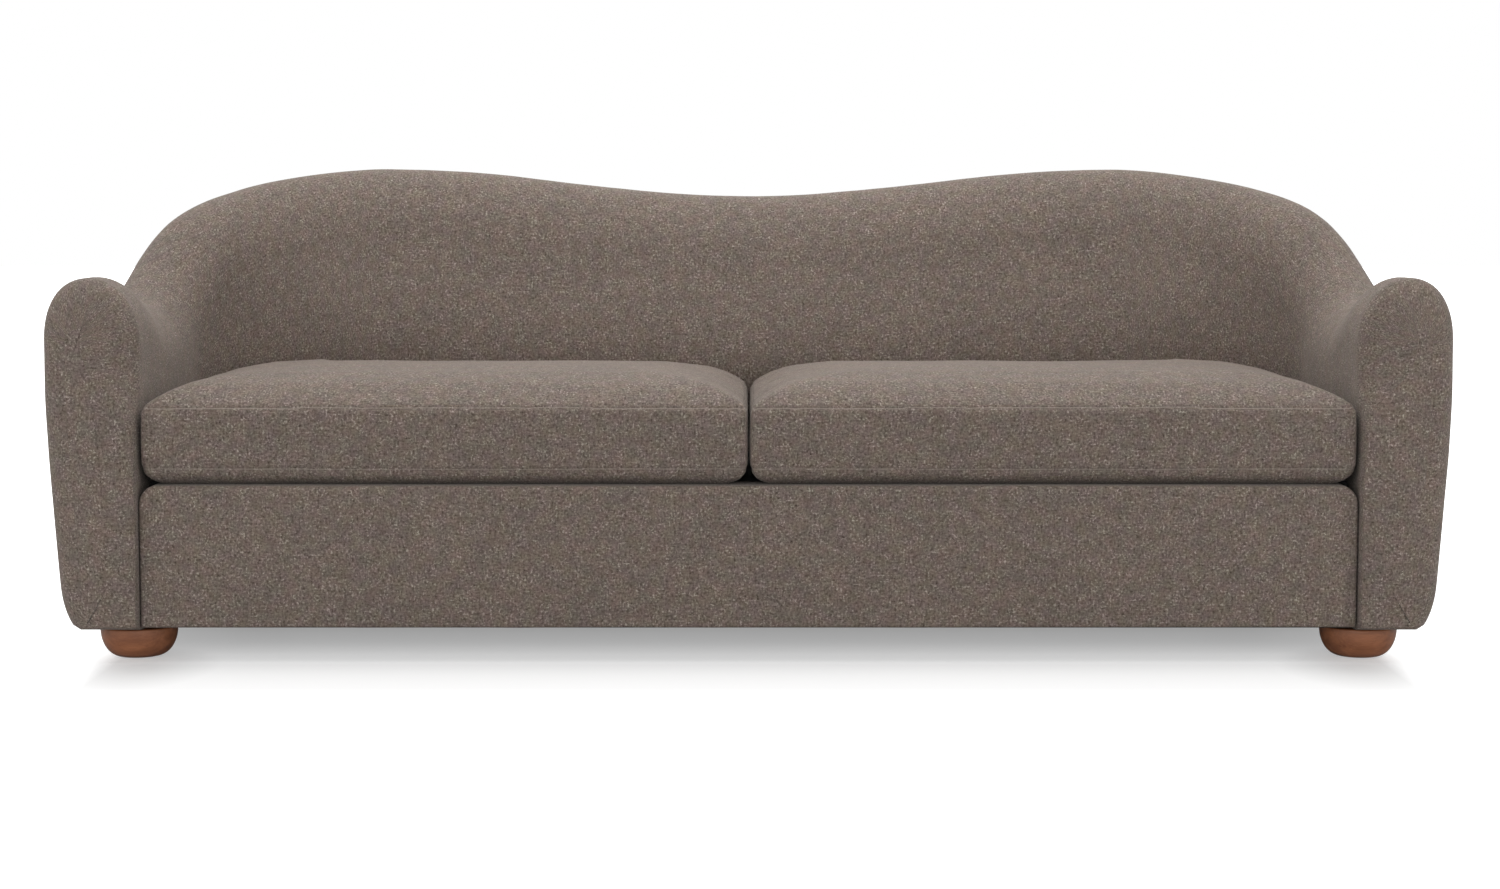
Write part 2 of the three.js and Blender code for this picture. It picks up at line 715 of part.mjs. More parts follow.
const BACK_RIB_SPACING = CORNER_X * BACK_RIB_SHARE;
const RIB_RUNS = {
  left_arm_front_rib: CLEARANCE + RIB_THICKNESS / 2,
  left_arm_rear_rib: ARM_LENGTH - RIB_THICKNESS,
  left_corner_rib: ARM_LENGTH + CORNER_LENGTH / 2 + RIB_THICKNESS,
  left_back_rib: HALF_LENGTH - BACK_RIB_SPACING,
  centre_back_rib: HALF_LENGTH,
  right_back_rib: HALF_LENGTH + BACK_RIB_SPACING,
  right_corner_rib: FULL_LENGTH - ARM_LENGTH - CORNER_LENGTH / 2 - RIB_THICKNESS,
  right_arm_rear_rib: FULL_LENGTH - ARM_LENGTH + RIB_THICKNESS,
  right_arm_front_rib: FULL_LENGTH - CLEARANCE - RIB_THICKNESS / 2,
};

function addRib(name, run) {
  const start = Math.max(CLEARANCE, run - RIB_THICKNESS / 2);
  const end = Math.min(FULL_LENGTH - CLEARANCE, run + RIB_THICKNESS / 2);
  const notchStart = Math.max(0, start - OVERRUN);
  const notchEnd = Math.min(FULL_LENGTH, end + OVERRUN);
  const notch = sweep(notchStart, notchEnd, (station) => topRailSection(station, CLEARANCE));
  const slot = sweep(notchStart, notchEnd, (station) =>
    topRailSection(station, CLEARANCE).map(([out, z], i) => [out, i > 1 ? z + PAD_THICKNESS : z]),
  );
  addMesh(name, cut(sweep(start, end, ribSection), notch, slot), PLYWOOD);
}

// Seat suspension: sinuous springs from the front rail to the spring rail

function sinuousSpring(x) {
  const start = FRONT_RAIL_BACK - SPRING_BITE;
  const end = SPRING_RAIL_Y + SPRING_BITE;
  const pitch = (end - start) / SPRING_LOOPS;
  const reach = SPRING_WIDTH / 2 - SPRING_WIRE / 2;
  const line = [];
  for (let loop = 0; loop < SPRING_LOOPS; loop += 1) {
    const side = loop % 2 ? 1 : -1;
    for (const [across, along] of SPRING_BEND_SHARES) {
      line.push(new THREE.Vector2(side * reach * across, start + pitch * (loop + along)));
    }
  }
  const edge = (sign) =>
    line.map((point, i) => {
      const before = line[Math.max(0, i - 1)];
      const after = line[Math.min(line.length - 1, i + 1)];
      const along = after.clone().sub(before).normalize();
      return new THREE.Vector2(
        point.x - (sign * along.y * SPRING_WIRE) / 2,
        point.y + (sign * along.x * SPRING_WIRE) / 2,
      );
    });
  const outline = [...edge(1), ...edge(-1).reverse()];
  const height = (y, level) => {
    const share = (y - start) / (end - start);
    return BASE_TOP + CLEARANCE + level + SPRING_RISE * 4 * share * (1 - share);
  };
  const rings = [0, SPRING_WIRE].map((level) =>
    outline.map((point) => [x + point.x, point.y, height(point.y, level)]),
  );
  return loftRings(rings, (r, i) => [outline[i].x, outline[i].y]);
}

function addSprings() {
  const count = 2 * SPRINGS_PER_SEAT;
  for (let i = 0; i < count; i += 1) {
    const x = (i - (count - 1) / 2) * ((2 * SPRING_RAIL_HALF) / count);
    addMesh(`seat_spring_${i + 1}`, sinuousSpring(x), STEEL);
  }
}

// Back webbing: straps woven into a net behind the inside back's padding

function webSection(station) {
  const inset = PAD_THICKNESS + CLEARANCE;
  const foot = BASE_TOP + CLEARANCE;
  const top = crownFoot(station);
  const heights = [...INSIDE_HEIGHT_SHARES, 1].map((share) => mix(foot, top, share));
  const front = heights.map((z) => insideAt(station, z, inset));
  const rear = heights.map((z) => insideAt(station, z, inset + WEB_THICKNESS)).reverse();
  return [...front, ...rear];
}

function addBackWebbing() {
  const start = CORNER_END;
  const end = FULL_LENGTH - CORNER_END;
  const windows = [];
  const columns = Math.floor((end - start) / WEB_PITCH);
  const pitch = (end - start) / columns;
  const low = BASE_TOP + WEB_WIDTH;
  const high = Math.min(...stationsFrom(start, end).map(crownFoot)) - WEB_WIDTH;
  const rise = (high - low) / WEB_ROWS;
  for (let column = 0; column < columns; column += 1) {
    const x = -CORNER_X + (column + 0.5) * pitch;
    const half = (pitch - WEB_WIDTH) / 2;
    for (let row = 0; row < WEB_ROWS; row += 1) {
      const z = low + row * rise;
      const top = z + rise - (row < WEB_ROWS - 1 ? WEB_WIDTH : 0);
      windows.push(boxGeometry([x - half, INSIDE_BACK_Y, z], [x + half, CREST_Y, top]));
    }
  }
  addMesh("back_webbing", cut(sweep(start, end, webSection), ...windows), WEBBING);
}

// Padded covers of the wall: inside and top, and the panels outside below the seam

function padSection(station) {
  const foot = BASE_TOP + CLEARANCE;
  const seam = seamHeight(station);
  const cover = [
    ...insidePoints(station, foot, 0),
    ...crownPoints(station, 0),
    outsideAt(station, seam, 0),
  ];
  const lining = [
    ...insidePoints(station, foot, PAD_THICKNESS),
    ...crownPoints(station, PAD_THICKNESS),
    outsideAt(station, seam, PAD_THICKNESS),
  ];
  return [...cover, ...lining.reverse()];
}

const panelSection = (station) => [...panelFace(station, 0), ...panelLining(station).reverse()];

function addWallCovers() {
  const parts = [
    ["left", 0, ARM_LENGTH],
    ["back", ARM_LENGTH + CLEARANCE, FULL_LENGTH - ARM_LENGTH - CLEARANCE],
    ["right", FULL_LENGTH - ARM_LENGTH, FULL_LENGTH],
  ];
  for (const [side, start, end] of parts) {
    const pad = side === "back" ? "inside_back_pad" : `${side}_inside_arm_pad`;
    const panel = side === "back" ? "outside_back_panel" : `${side}_outside_arm_panel`;
    addMesh(pad, sweep(start, end, padSection), FABRIC);
    addMesh(panel, sweep(start, end, panelSection), FABRIC);
  }
}

// Arm fronts: solid padding, rounded over from the sides and top to a flat face

function armFrontOutline(station) {
  const points = [];
  const outside = [];
  for (let i = 1; i <= OUTSIDE_STEPS; i += 1) {
    const z = mix(FLOOR_GAP, crownFoot(station), (i / OUTSIDE_STEPS) ** 2);
    outside.unshift({ at: outsideAt(station, z, 0), edge: [-ARM_EDGE, 0] });
  }
  const aboveCushion = mix(CUSHION_UPPER_SEAM, crownFoot(station), ARM_INNER_EDGE_SHARE);
  [FLOOR_GAP, DECK_TOP, CUSHION_UPPER_SEAM, aboveCushion].forEach((z, i) => {
    const rise = z === FLOOR_GAP ? ARM_FOOT_EDGE : 0;
    points.push({ at: insideAt(station, z, 0), edge: [ARM_INNER_EDGES[i], rise] });
  });
  crownPoints(station, 0).forEach((at, i) => {
    const angle = (i * Math.PI) / (2 * CROWN_STEPS);
    const across = i < CROWN_STEPS ? ARM_SHOULDER_EDGE : ARM_EDGE;
    points.push({ at, edge: [across * Math.cos(angle), -ARM_EDGE * Math.sin(angle)] });
  });
  const foot = { at: outsideAt(station, FLOOR_GAP, 0), edge: [-ARM_EDGE / 2, ARM_FOOT_EDGE] };
  return [...points, ...outside.slice(1), foot];
}

function addArmFront(name, station) {
  const outline = armFrontOutline(station);
  const depth = ARM_FRONT_DEPTH - CLEARANCE;
  const sections = EDGE_ROUND_SHARES.map((share) => {
    const inward = 1 - Math.sqrt(1 - share * share);
    return outline.map(({ at, edge }) => [at[0] + edge[0] * inward, at[1] + edge[1] * inward]);
  });
  const rings = sections.map((section, r) =>
    section.map((point) => {
      const [x, y, z] = placed(station, point);
      return [x, y - CLEARANCE - depth * EDGE_ROUND_SHARES[r], z];
    }),
  );
  addMesh(name, loftRings(rings, (r, i) => sections[r][i]), FABRIC);
}

// Front band: padded panel on the front rail, with a nose over the rail's top

function addFrontBand() {
  const half = CREST_X - ARM_INNER - BAND_SIDE_GAP;
  const front = FRONT_Y + BAND_SETBACK;
  const back = ARM_FRAME_Y - CLEARANCE;
  const foot = FLOOR_GAP + BAND_LIFT;
  const shape = new THREE.Shape();
  shape.moveTo(-half, foot);
  shape.lineTo(half, foot);
  const cornerZ = DECK_TOP - BAND_CORNER_DROP;
  const corner = half - BAND_CORNER_RUN;
  shape.lineTo(half, cornerZ);
  shape.ellipse(-BAND_CORNER_RUN, 0, BAND_CORNER_RUN, BAND_CORNER_DROP, 0, Math.PI / 2);
  shape.lineTo(-corner, DECK_TOP);
  shape.ellipse(0, -BAND_CORNER_DROP, BAND_CORNER_RUN, BAND_CORNER_DROP, Math.PI / 2, Math.PI);
  const panel = new THREE.ExtrudeGeometry(shape, {
    depth: back - front - BAND_EDGE,
    bevelThickness: BAND_EDGE,
    bevelSize: BAND_EDGE,
    bevelOffset: -BAND_EDGE,
    bevelSegments: SMALL_CORNER_STEPS,
    curveSegments: SMALL_CORNER_STEPS * 2,
  });
  panel.rotateX(Math.PI / 2);
  panel.translate(0, back, 0);
  // The bevel also rounds the rear edges, so the panel is cut off square at the back.
  const rear = boxGeometry(
    [-half - OVERRUN, back, foot - OVERRUN],
    [half + OVERRUN, back + OVERRUN + BAND_EDGE, DECK_TOP + OVERRUN],
  );
  const noseHalf = half - BAND_CORNER_RUN;
  const nose = boxGeometry(
    [-noseHalf, back - BAND_EDGE, DECK_TOP - NOSE_THICKNESS],
    [noseHalf, back + NOSE_DEPTH, DECK_TOP],
  );
  addMesh("front_band", join(cut(panel, rear), nose), FABRIC);
}

// Seat deck: the padded platform under the cushions

const DECK_FRONT = ARM_FRAME_Y + NOSE_DEPTH + CLEARANCE;

function addDeck() {
  const start = DECK_FRONT - ARM_FRAME_Y;
  const outline = stationsFrom(start, FULL_LENGTH - start).map((station) =>
    placed(station, insideAt(station, DECK_TOP, -CLEARANCE)),
  );
  addMesh("seat_deck", slabGeometry(outline, DECK_TOP - DECK_THICKNESS, DECK_TOP), UNDERCLOTH);
}

// Dust cover: thin cloth stretched under the frame

function addDustCover() {
  const outline = stationsFrom(CLEARANCE, FULL_LENGTH - CLEARANCE).map((station) =>
    placed(station, [baseOuter(station) - CLEARANCE, 0]),
  );
  const low = FLOOR_GAP + DUST_COVER_LIFT;
  const high = low + DUST_COVER_THICKNESS;
  const holes = Object.values(FOOT_RUNS).map((run) =>
    cylinderGeometry(
      BOLT_RADIUS + CLEARANCE,
      low - OVERRUN,
      high + OVERRUN,
      footCentre(run),
      BOLT_STEPS,
    ),
  );
  addMesh("dust_cover", cut(slabGeometry(outline, low, high), ...holes), UNDERCLOTH);
}

// Seat cushions: boxed covers with a crown, foam cores and a zip across the back

const CUSHION_OUTER_X = CREST_X - ARM_INNER - CUSHION_SIDE_GAP;
const CUSHION_INNER_X = CUSHION_MIDDLE_GAP / 2;
const CUSHION_FRONT = FRONT_Y + CUSHION_FRONT_SETBACK;
const CUSHION_BACK = INSIDE_BACK_Y - CUSHION_BACK_GAP;
const CUSHION_REAR_RUN = CUSHION_OUTER_X - CORNER_X;
const CUSHION_REAR_DEPTH = CUSHION_BACK - CORNER_Y;

// The right-hand cushion's outline in plan, inset all round, anticlockwise from the front
// corner by the gap. sag is how far each straight side pulls in at its middle.
function cushionOutline(inset, sag) {
  const low = [CUSHION_INNER_X + inset, CUSHION_FRONT + inset];
  const high = [CUSHION_OUTER_X - inset, CUSHION_BACK - inset];
  const corners = [
    { at: [low[0], low[1]], turn: [1, 1], radii: [CUSHION_CORNER, CUSHION_CORNER], start: 2 },
    { at: [high[0], low[1]], turn: [-1, 1], radii: [CUSHION_CORNER, CUSHION_CORNER], start: 3 },
    {
      at: [high[0], high[1]],
      turn: [-1, -1],
      radii: [CUSHION_REAR_RUN, CUSHION_REAR_DEPTH],
      start: 0,
    },
    { at: [low[0], high[1]], turn: [1, -1], radii: [CUSHION_CORNER, CUSHION_CORNER], start: 1 },
  ];
  const points = [];
  corners.forEach(({ at, turn, radii, start }, corner) => {
    const steps = radii[0] > CUSHION_CORNER ? CORNER_STEPS : SMALL_CORNER_STEPS;
    const radius = radii.map((r) => Math.max(CUSHION_CORNER / 2, r - inset));
    const centre = [at[0] + turn[0] * radius[0], at[1] + turn[1] * radius[1]];
    const arc = [];
    for (let i = 0; i <= steps; i += 1) {
      const angle = ((start + i / steps) * Math.PI) / 2;
      arc.push([
        centre[0] + radius[0] * Math.cos(angle),
        centre[1] + radius[1] * Math.sin(angle),
      ]);
    }
    if (corner > 0) points.push(...sagged(points[points.length - 1], arc[0], sag));
    points.push(...arc);
  });
  points.push(...sagged(points[points.length - 1], points[0], sag));
  return points;
}

// Points between two corners of a side that pulls in at its middle.
function sagged(from, to, sag) {
  const along = [to[0] - from[0], to[1] - from[1]];
  const length = Math.hypot(...along);
  const inward = [-along[1] / length, along[0] / length];
  return SAG_SHARES.map((share) => {
    const depth = sag * Math.sin(share * Math.PI);
    return [
      mix(from[0], to[0], share) + inward[0] * depth,
      mix(from[1], to[1], share) + inward[1] * depth,
    ];
  });
}

function cushionRings(side, wall) {
  const underside = CUSHION_LOWER_SEAM - DECK_TOP - CLEARANCE;
  const rows = [
    ...CUSHION_UNDER_SHARES.map(([inShare, downShare]) => [
      CUSHION_SEAM_PINCH + CUSHION_UNDER_RUN * inShare,
      CUSHION_LOWER_SEAM - underside * downShare,
    ]),
    [CUSHION_SEAM_PINCH, CUSHION_LOWER_SEAM],
    [0, (CUSHION_LOWER_SEAM + CUSHION_UPPER_SEAM) / 2],
    [CUSHION_SEAM_PINCH, CUSHION_UPPER_SEAM],
    ...CUSHION_CROWN_SHARES.map(([inShare, upShare]) => [
      CUSHION_SEAM_PINCH + CUSHION_CROWN_RUN * inShare,
      CUSHION_UPPER_SEAM + CUSHION_CROWN * upShare,
    ]),
  ];
  const middle = (CUSHION_LOWER_SEAM + CUSHION_UPPER_SEAM) / 2;
  const half = (CUSHION_UPPER_SEAM - CUSHION_LOWER_SEAM) / 2;
  return rows.map(([inset, z]) => {
    // The lining is the same form, thinner all round by the cover's wall.
    const lift = clamp01(Math.abs(z - middle) / half) * Math.sign(middle - z) * wall;
    return cushionOutline(inset + wall, CUSHION_SIDE_SAG).map(([x, y]) => [side * x, y, z + lift]);
  });
}

const cushionSolid = (side, wall) => loftRings(cushionRings(side, wall), (r, i, [x, y]) => [x, y]);

const ZIP_Z = (CUSHION_LOWER_SEAM + CUSHION_UPPER_SEAM) / 2;
const ZIP_X = (CUSHION_INNER_X + CORNER_X) / 2;
const ZIP_LENGTH = CORNER_X - CUSHION_INNER_X - 2 * ZIP_MARGIN;
const ZIP_FACE = CUSHION_BACK - COVER_THICKNESS + CLEARANCE;

function addCushion(side, name) {
  const slotEdge = [ZIP_LENGTH / 2, ZIP_HEIGHT / 2];
  const slot = boxGeometry(
    [side * ZIP_X - slotEdge[0], ZIP_FACE - 2 * OVERRUN, ZIP_Z - slotEdge[1]],
    [side * ZIP_X + slotEdge[0], CUSHION_BACK + OVERRUN, ZIP_Z + slotEdge[1]],
  );
  const cover = cut(cushionSolid(side, 0), cushionSolid(side, COVER_THICKNESS), slot);
  addMesh(`${name}_cushion_cover`, cover, FABRIC);
  addMesh(`${name}_cushion_core`, cushionSolid(side, COVER_THICKNESS + CLEARANCE), FOAM);

  const tapeEdge = slotEdge.map((edge) => edge - CLEARANCE);
  addMesh(
    `${name}_cushion_zip`,
    boxGeometry(
      [side * ZIP_X - tapeEdge[0], ZIP_FACE, ZIP_Z - tapeEdge[1]],
      [side * ZIP_X + tapeEdge[0], ZIP_FACE + ZIP_TAPE, ZIP_Z + tapeEdge[1]],
    ),
    ZIP_CLOTH,
  );

  // The slider stands at the closed end of the zip, by the gap between the cushions.
  const sliderFace = ZIP_FACE + ZIP_TAPE + CLEARANCE;
  const closedEnd = side * ZIP_X - side * (tapeEdge[0] - ZIP_SLIDER_LENGTH);
  const sliderEdge = tapeEdge[1] - CLEARANCE;
  const slider = boxGeometry(
    [closedEnd - ZIP_SLIDER_LENGTH / 2, sliderFace, ZIP_Z - sliderEdge],
    [closedEnd + ZIP_SLIDER_LENGTH / 2, sliderFace + ZIP_PULL_THICKNESS, ZIP_Z + sliderEdge],
  );
  const tabEnd = closedEnd + side * (ZIP_SLIDER_LENGTH / 2 + ZIP_TAB_LENGTH);
  const tab = boxGeometry(
    [
      Math.min(closedEnd, tabEnd),
      sliderFace + ZIP_PULL_THICKNESS - ZIP_TAB_THICKNESS,
      ZIP_Z - ZIP_TAB_HEIGHT / 2,
    ],
    [
      Math.max(closedEnd, tabEnd),
      sliderFace + ZIP_PULL_THICKNESS,
      ZIP_Z + ZIP_TAB_HEIGHT / 2,
    ],
  );
  addMesh(`${name}_zip_pull`, join(slider, tab), STEEL);
}

// Assembly

addBaseFrame();
for (const [name, run] of Object.entries(FOOT_RUNS)) {
  addFootBlock(name, run);
  addFoot(name, run);
}
addTopRails();
for (const [name, run] of Object.entries(RIB_RUNS)) addRib(name, run);
addSprings();
addBackWebbing();
addWallCovers();
addArmFront("left_arm_front_pad", STATIONS[0]);
addArmFront("right_arm_front_pad", STATIONS[STATIONS.length - 1]);
addFrontBand();
addDeck();
addDustCover();
addCushion(-1, "left");
addCushion(1, "right");

export default sofa;
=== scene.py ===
import math
import bmesh
import bpy
import numpy as np
from mathutils import Matrix, Vector, noise
from mathutils.kdtree import KDTree


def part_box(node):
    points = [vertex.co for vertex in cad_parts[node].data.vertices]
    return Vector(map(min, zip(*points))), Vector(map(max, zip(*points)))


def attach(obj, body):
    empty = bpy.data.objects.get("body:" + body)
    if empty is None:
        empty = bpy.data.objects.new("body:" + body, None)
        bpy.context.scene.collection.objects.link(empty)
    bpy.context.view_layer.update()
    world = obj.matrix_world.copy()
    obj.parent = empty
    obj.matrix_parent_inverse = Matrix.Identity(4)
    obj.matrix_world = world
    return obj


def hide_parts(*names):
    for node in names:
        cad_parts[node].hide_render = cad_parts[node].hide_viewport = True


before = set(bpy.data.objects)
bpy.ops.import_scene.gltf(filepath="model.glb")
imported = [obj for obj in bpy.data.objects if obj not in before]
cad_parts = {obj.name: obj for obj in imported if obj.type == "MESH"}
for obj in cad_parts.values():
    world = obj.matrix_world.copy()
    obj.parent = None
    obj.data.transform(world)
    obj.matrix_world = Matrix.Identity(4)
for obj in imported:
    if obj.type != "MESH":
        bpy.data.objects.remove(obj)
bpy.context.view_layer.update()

# Studio. A white floor that keeps the sofa's soft shadow, partly painted into its own glow, a
# broad lamp overhead, a weaker one in front and a small one on each side, and a camera square
# to the sofa's front that is tilted a little down.


class Value:
    """One output of a material's nodes. Sums and products of values add Math nodes."""

    def __init__(self, tree, socket=None):
        self.tree, self.socket = tree, socket

    def feed(self, node, sockets):
        for name, given in sockets.items():
            if isinstance(given, Value):
                self.tree.links.new(given.socket, node.inputs[name])
            else:
                node.inputs[name].default_value = given

    def node(self, kind, settings=None, sockets=None, output=0):
        """Adds a node: its settings are made first, then its sockets are fed."""
        node = self.tree.nodes.new(kind)
        for name, setting in (settings or {}).items():
            if name == "stops":
                ends = node.color_ramp.elements
                for end, (place, colour) in ((ends[0], setting[0]), (ends[-1], setting[-1])):
                    end.position, end.color = place, (*colour, 1)
                for place, colour in setting[1:-1]:
                    node.color_ramp.elements.new(place).color = (*colour, 1)
            else:
                setattr(node, name, setting)
        self.feed(node, sockets or {})
        return Value(self.tree, node.outputs[output])

    def output(self, name):
        return Value(self.tree, self.socket.node.outputs[name])

    def maths(self, operation, *values):
        return self.node("ShaderNodeMath", {"operation": operation}, dict(enumerate(values)))

    def vector_maths(self, operation, *values, output=0):
        settings = {"operation": operation}
        return self.node("ShaderNodeVectorMath", settings, dict(enumerate(values)), output)

    def __add__(self, other):
        return self.maths("ADD", self, other)

    def __sub__(self, other):
        return self.maths("SUBTRACT", self, other)

    def __rsub__(self, other):
        return self.maths("SUBTRACT", other, self)

    def __mul__(self, other):
        return self.maths("MULTIPLY", self, other)

    def sine(self):
        return self.maths("SINE", self)

    def split(self):
        """The node that gives a vector's X, Y and Z."""
        return self.node("ShaderNodeSeparateXYZ", {}, {0: self})

    def within(self, low, high):
        """0 below low, 1 above high, and straight between."""
        return self.node("ShaderNodeMapRange", {}, {0: self, 1: low, 2: high})

    def mixed(self, first, second):
        """Colours mixed by this value."""
        colours = [c if isinstance(c, Value) else (*c, 1) for c in (first, second)]
        sockets = {0: self, 6: colours[0], 7: colours[1]}
        return self.node("ShaderNodeMix", {"data_type": "RGBA"}, sockets, 2)

    def tinted(self, tint):
        """This colour times another."""
        settings = {"data_type": "RGBA", "blend_type": "MULTIPLY"}
        return self.node("ShaderNodeMix", settings, {0: 1.0, 6: self, 7: tint}, 2)

    def spot(self):
        """Where a point lies on its piece."""
        return self.node("ShaderNodeTexCoord").output("Object")

    def clouds(self, spot, scale=1, detail=2, roughness=0.5, distortion=0, flat=False):
        """Soft noise from 0 to 1. Flat noise reads only the first two directions."""
        sockets = {"Vector": spot, "Scale": scale, "Detail": detail}
        sockets |= {"Roughness": roughness, "Distortion": distortion}
        return self.node("ShaderNodeTexNoise", {"noise_dimensions": "2D" if flat else "3D"}, sockets)

    def bump(self, height, strength, distance):
        sockets = {"Strength": strength, "Distance": distance, "Height": height}
        return self.node("ShaderNodeBump", {}, sockets)

    __radd__ = __add__
    __rmul__ = __mul__


def new_material(name):
    material = bpy.data.materials.new(name)
    material.use_nodes = True
    return material, Value(material.node_tree), material.node_tree.nodes["Principled BSDF"]


def deselect():
    if bpy.context.mode != "OBJECT":
        bpy.ops.object.mode_set(mode="OBJECT")
    bpy.ops.object.select_all(action="DESELECT")


scene = bpy.context.scene
scene.view_settings.view_transform = "Standard"

sky_light = 0.93
world = bpy.data.worlds.new("studio")
scene.world = world
world.use_nodes = True
world.node_tree.nodes.clear()
sky = Value(world.node_tree)
rays = sky.node("ShaderNodeLightPath")
seen = rays.output("Is Camera Ray") + rays.output("Is Glossy Ray")
seen = (seen + rays.output("Is Transmission Ray")).within(0, 1)
grey = sky.node("ShaderNodeBackground", {}, {"Color": (1, 1, 1, 1), "Strength": sky_light})
white = sky.node("ShaderNodeBackground", {}, {"Color": (1, 1, 1, 1), "Strength": 1})
shown = sky.node("ShaderNodeMixShader", {}, {0: seen, 1: grey, 2: white})
ending = world.node_tree.nodes.new("ShaderNodeOutputWorld")
sky.feed(ending, {"Surface": shown})

floor_size = 60
floor_white = 0.5
# How much the floor glows by itself, by how far from the middle it lies front to back.
# Kept low under the sofa and near its front and back, the glow paints the sofa's soft shadow there.
glow_stops = (
    (0.10, 0.32), (0.25, 0.385), (0.39, 0.50), (0.45, 0.45),
    (0.50, 0.365), (0.60, 0.38), (0.72, 0.35), (1.0, 0.7),
)
# It glows more beyond the sofa's sides, which paints out the shadow there, and less in a long
# round spot before each front foot and behind each rear one, which paints a shadow round it.
side_glow, side_from, side_to = 0.6, 1.06, 1.14
foot_shadow_depth, dim_from, dim_to = 0.2, 0.02, 0.13
foot_spot, spot_stretch = (1.01, 0.53, 0), (1, 0.6, 0)
deselect()
bpy.ops.mesh.primitive_plane_add(size=floor_size)
floor = bpy.context.object
floor.name = "floor"
floor_material, value, shader = new_material("white_floor")
value.feed(shader, {
    "Base Color": (floor_white, floor_white, floor_white, 1),
    "Roughness": 0.5,
    "Specular IOR Level": 0.2,
})
rays = value.node("ShaderNodeLightPath")
spot = value.vector_maths("ABSOLUTE", value.spot())
across = spot.split()
stops = [(place, (glow,) * 3) for place, glow in glow_stops]
fade = value.node("ShaderNodeValToRGB", {"stops": stops}, {0: across.output("Y")})
to_foot = value.vector_maths("SUBTRACT", spot, foot_spot)
to_foot = value.vector_maths("MULTIPLY", to_foot, spot_stretch)
to_foot = value.vector_maths("LENGTH", to_foot, output="Value")
# Painted shadow: the floor's glow drops in a spot round each foot.
painted_foot_shadow = 1.0 - to_foot.within(dim_from, dim_to)
glow_there = fade + across.within(side_from, side_to) * side_glow - painted_foot_shadow * foot_shadow_depth
shown_glow = rays.output("Is Camera Ray").mixed((0, 0, 0), glow_there)
glow = value.node("ShaderNodeEmission", {}, {"Color": shown_glow, "Strength": 1})
lit = value.node("ShaderNodeAddShader", {}, {0: Value(value.tree, shader.outputs[0]), 1: glow})
value.feed(value.tree.nodes["Material Output"], {"Surface": lit})
floor.data.materials.append(floor_material)

lamp_aim = Vector((0, -0.1, 0.4))
for name, place, size, watts in (
    ("overhead_lamp", (0, 0.35, 3.2), (4.2, 2.8), 101),
    ("front_lamp", (0, -5.0, 0.95), (5.0, 1.8), 53),
    ("left_lamp", (-2.6, -1.7, 0.7), (1.2, 1.0), 11),
    ("right_lamp", (2.6, -1.7, 0.7), (1.2, 1.0), 11),
):
    bpy.ops.object.light_add(type="AREA", location=place)
    lamp = bpy.context.object
    lamp.name = name
    lamp.data.shape = "RECTANGLE"
    lamp.data.size, lamp.data.size_y = size
    lamp.data.energy = watts
    lamp.rotation_euler = (lamp_aim - lamp.location).to_track_quat("-Z", "Y").to_euler()

camera_place = (0, -4.96, 0.76)
camera_tilt = math.radians(90 - 5)
bpy.ops.object.camera_add(location=camera_place, rotation=(camera_tilt, 0, 0))
camera = bpy.context.object
camera.data.sensor_width = 36
camera.data.lens = 64.87
camera.data.shift_x = 0.0009
scene.camera = camera

# Frame: rails, stretchers, foot blocks and boards of birch plywood, glued and screwed,
# with plywood ribs that stand on the rails and carry the bent top rails.


def wood_material(name, pale, dark, roughness, grain=(3, 55, 55)):
    """Wood with its grain along X, drawn from the place on the piece."""
    material, value, shader = new_material(name)
    stretched = value.node("ShaderNodeMapping", {}, {0: value.spot(), "Scale": grain})
    figure = value.clouds(stretched, detail=5, distortion=0.6)
    pores = value.clouds(stretched, scale=6, detail=3, roughness=0.7)
    value.feed(shader, {
        "Base Color": (figure * 0.7 + pores * 0.3).within(0.33, 0.67).mixed(dark, pale),
        "Roughness": roughness + figure * 0.15,
        "Normal": value.bump(pores, 0.25, 0.0006),
    })
    return material, value, shader


plywood, *_ = wood_material("birch_plywood", (0.66, 0.47, 0.27), (0.47, 0.3, 0.15), 0.55)


def dress(nodes, material):
    for node in nodes:
        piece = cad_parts[node]
        for place in piece.material_slots:
            place.material = material
        if not piece.material_slots:
            piece.data.materials.append(material)


feet = ("front_left", "front_right", "rear_left", "rear_right")
dress(
    [
        "front_rail", "left_side_rail", "right_side_rail", "rear_rail", "left_stretcher",
        "centre_stretcher", "right_stretcher", "spring_rail", "left_arm_top_rail",
        "crest_rail", "right_arm_top_rail", "left_arm_front_rib", "left_arm_rear_rib",
        "left_corner_rib", "left_back_rib", "centre_back_rib", "right_back_rib",
        "right_corner_rib", "right_arm_rear_rib", "right_arm_front_rib",
        *(f"{foot}_foot_block" for foot in feet),
    ],
    plywood,
)

# Feet: low buns turned from walnut-stained beech, satin lacquered. Each has a hanger
# bolt glued into its top, which screws up into the foot block.

foot_radius, sole_radius = 0.065, 0.032
foot_height = 0.0516
foot_stretch = 1.45
top_edge = 0.002
bolt_bore, bore_depth = 0.0054, 0.03
foot_places = {
    foot: [(a + b) / 2 for a, b in zip(*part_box(f"{foot}_foot"))][:2] for foot in feet
}

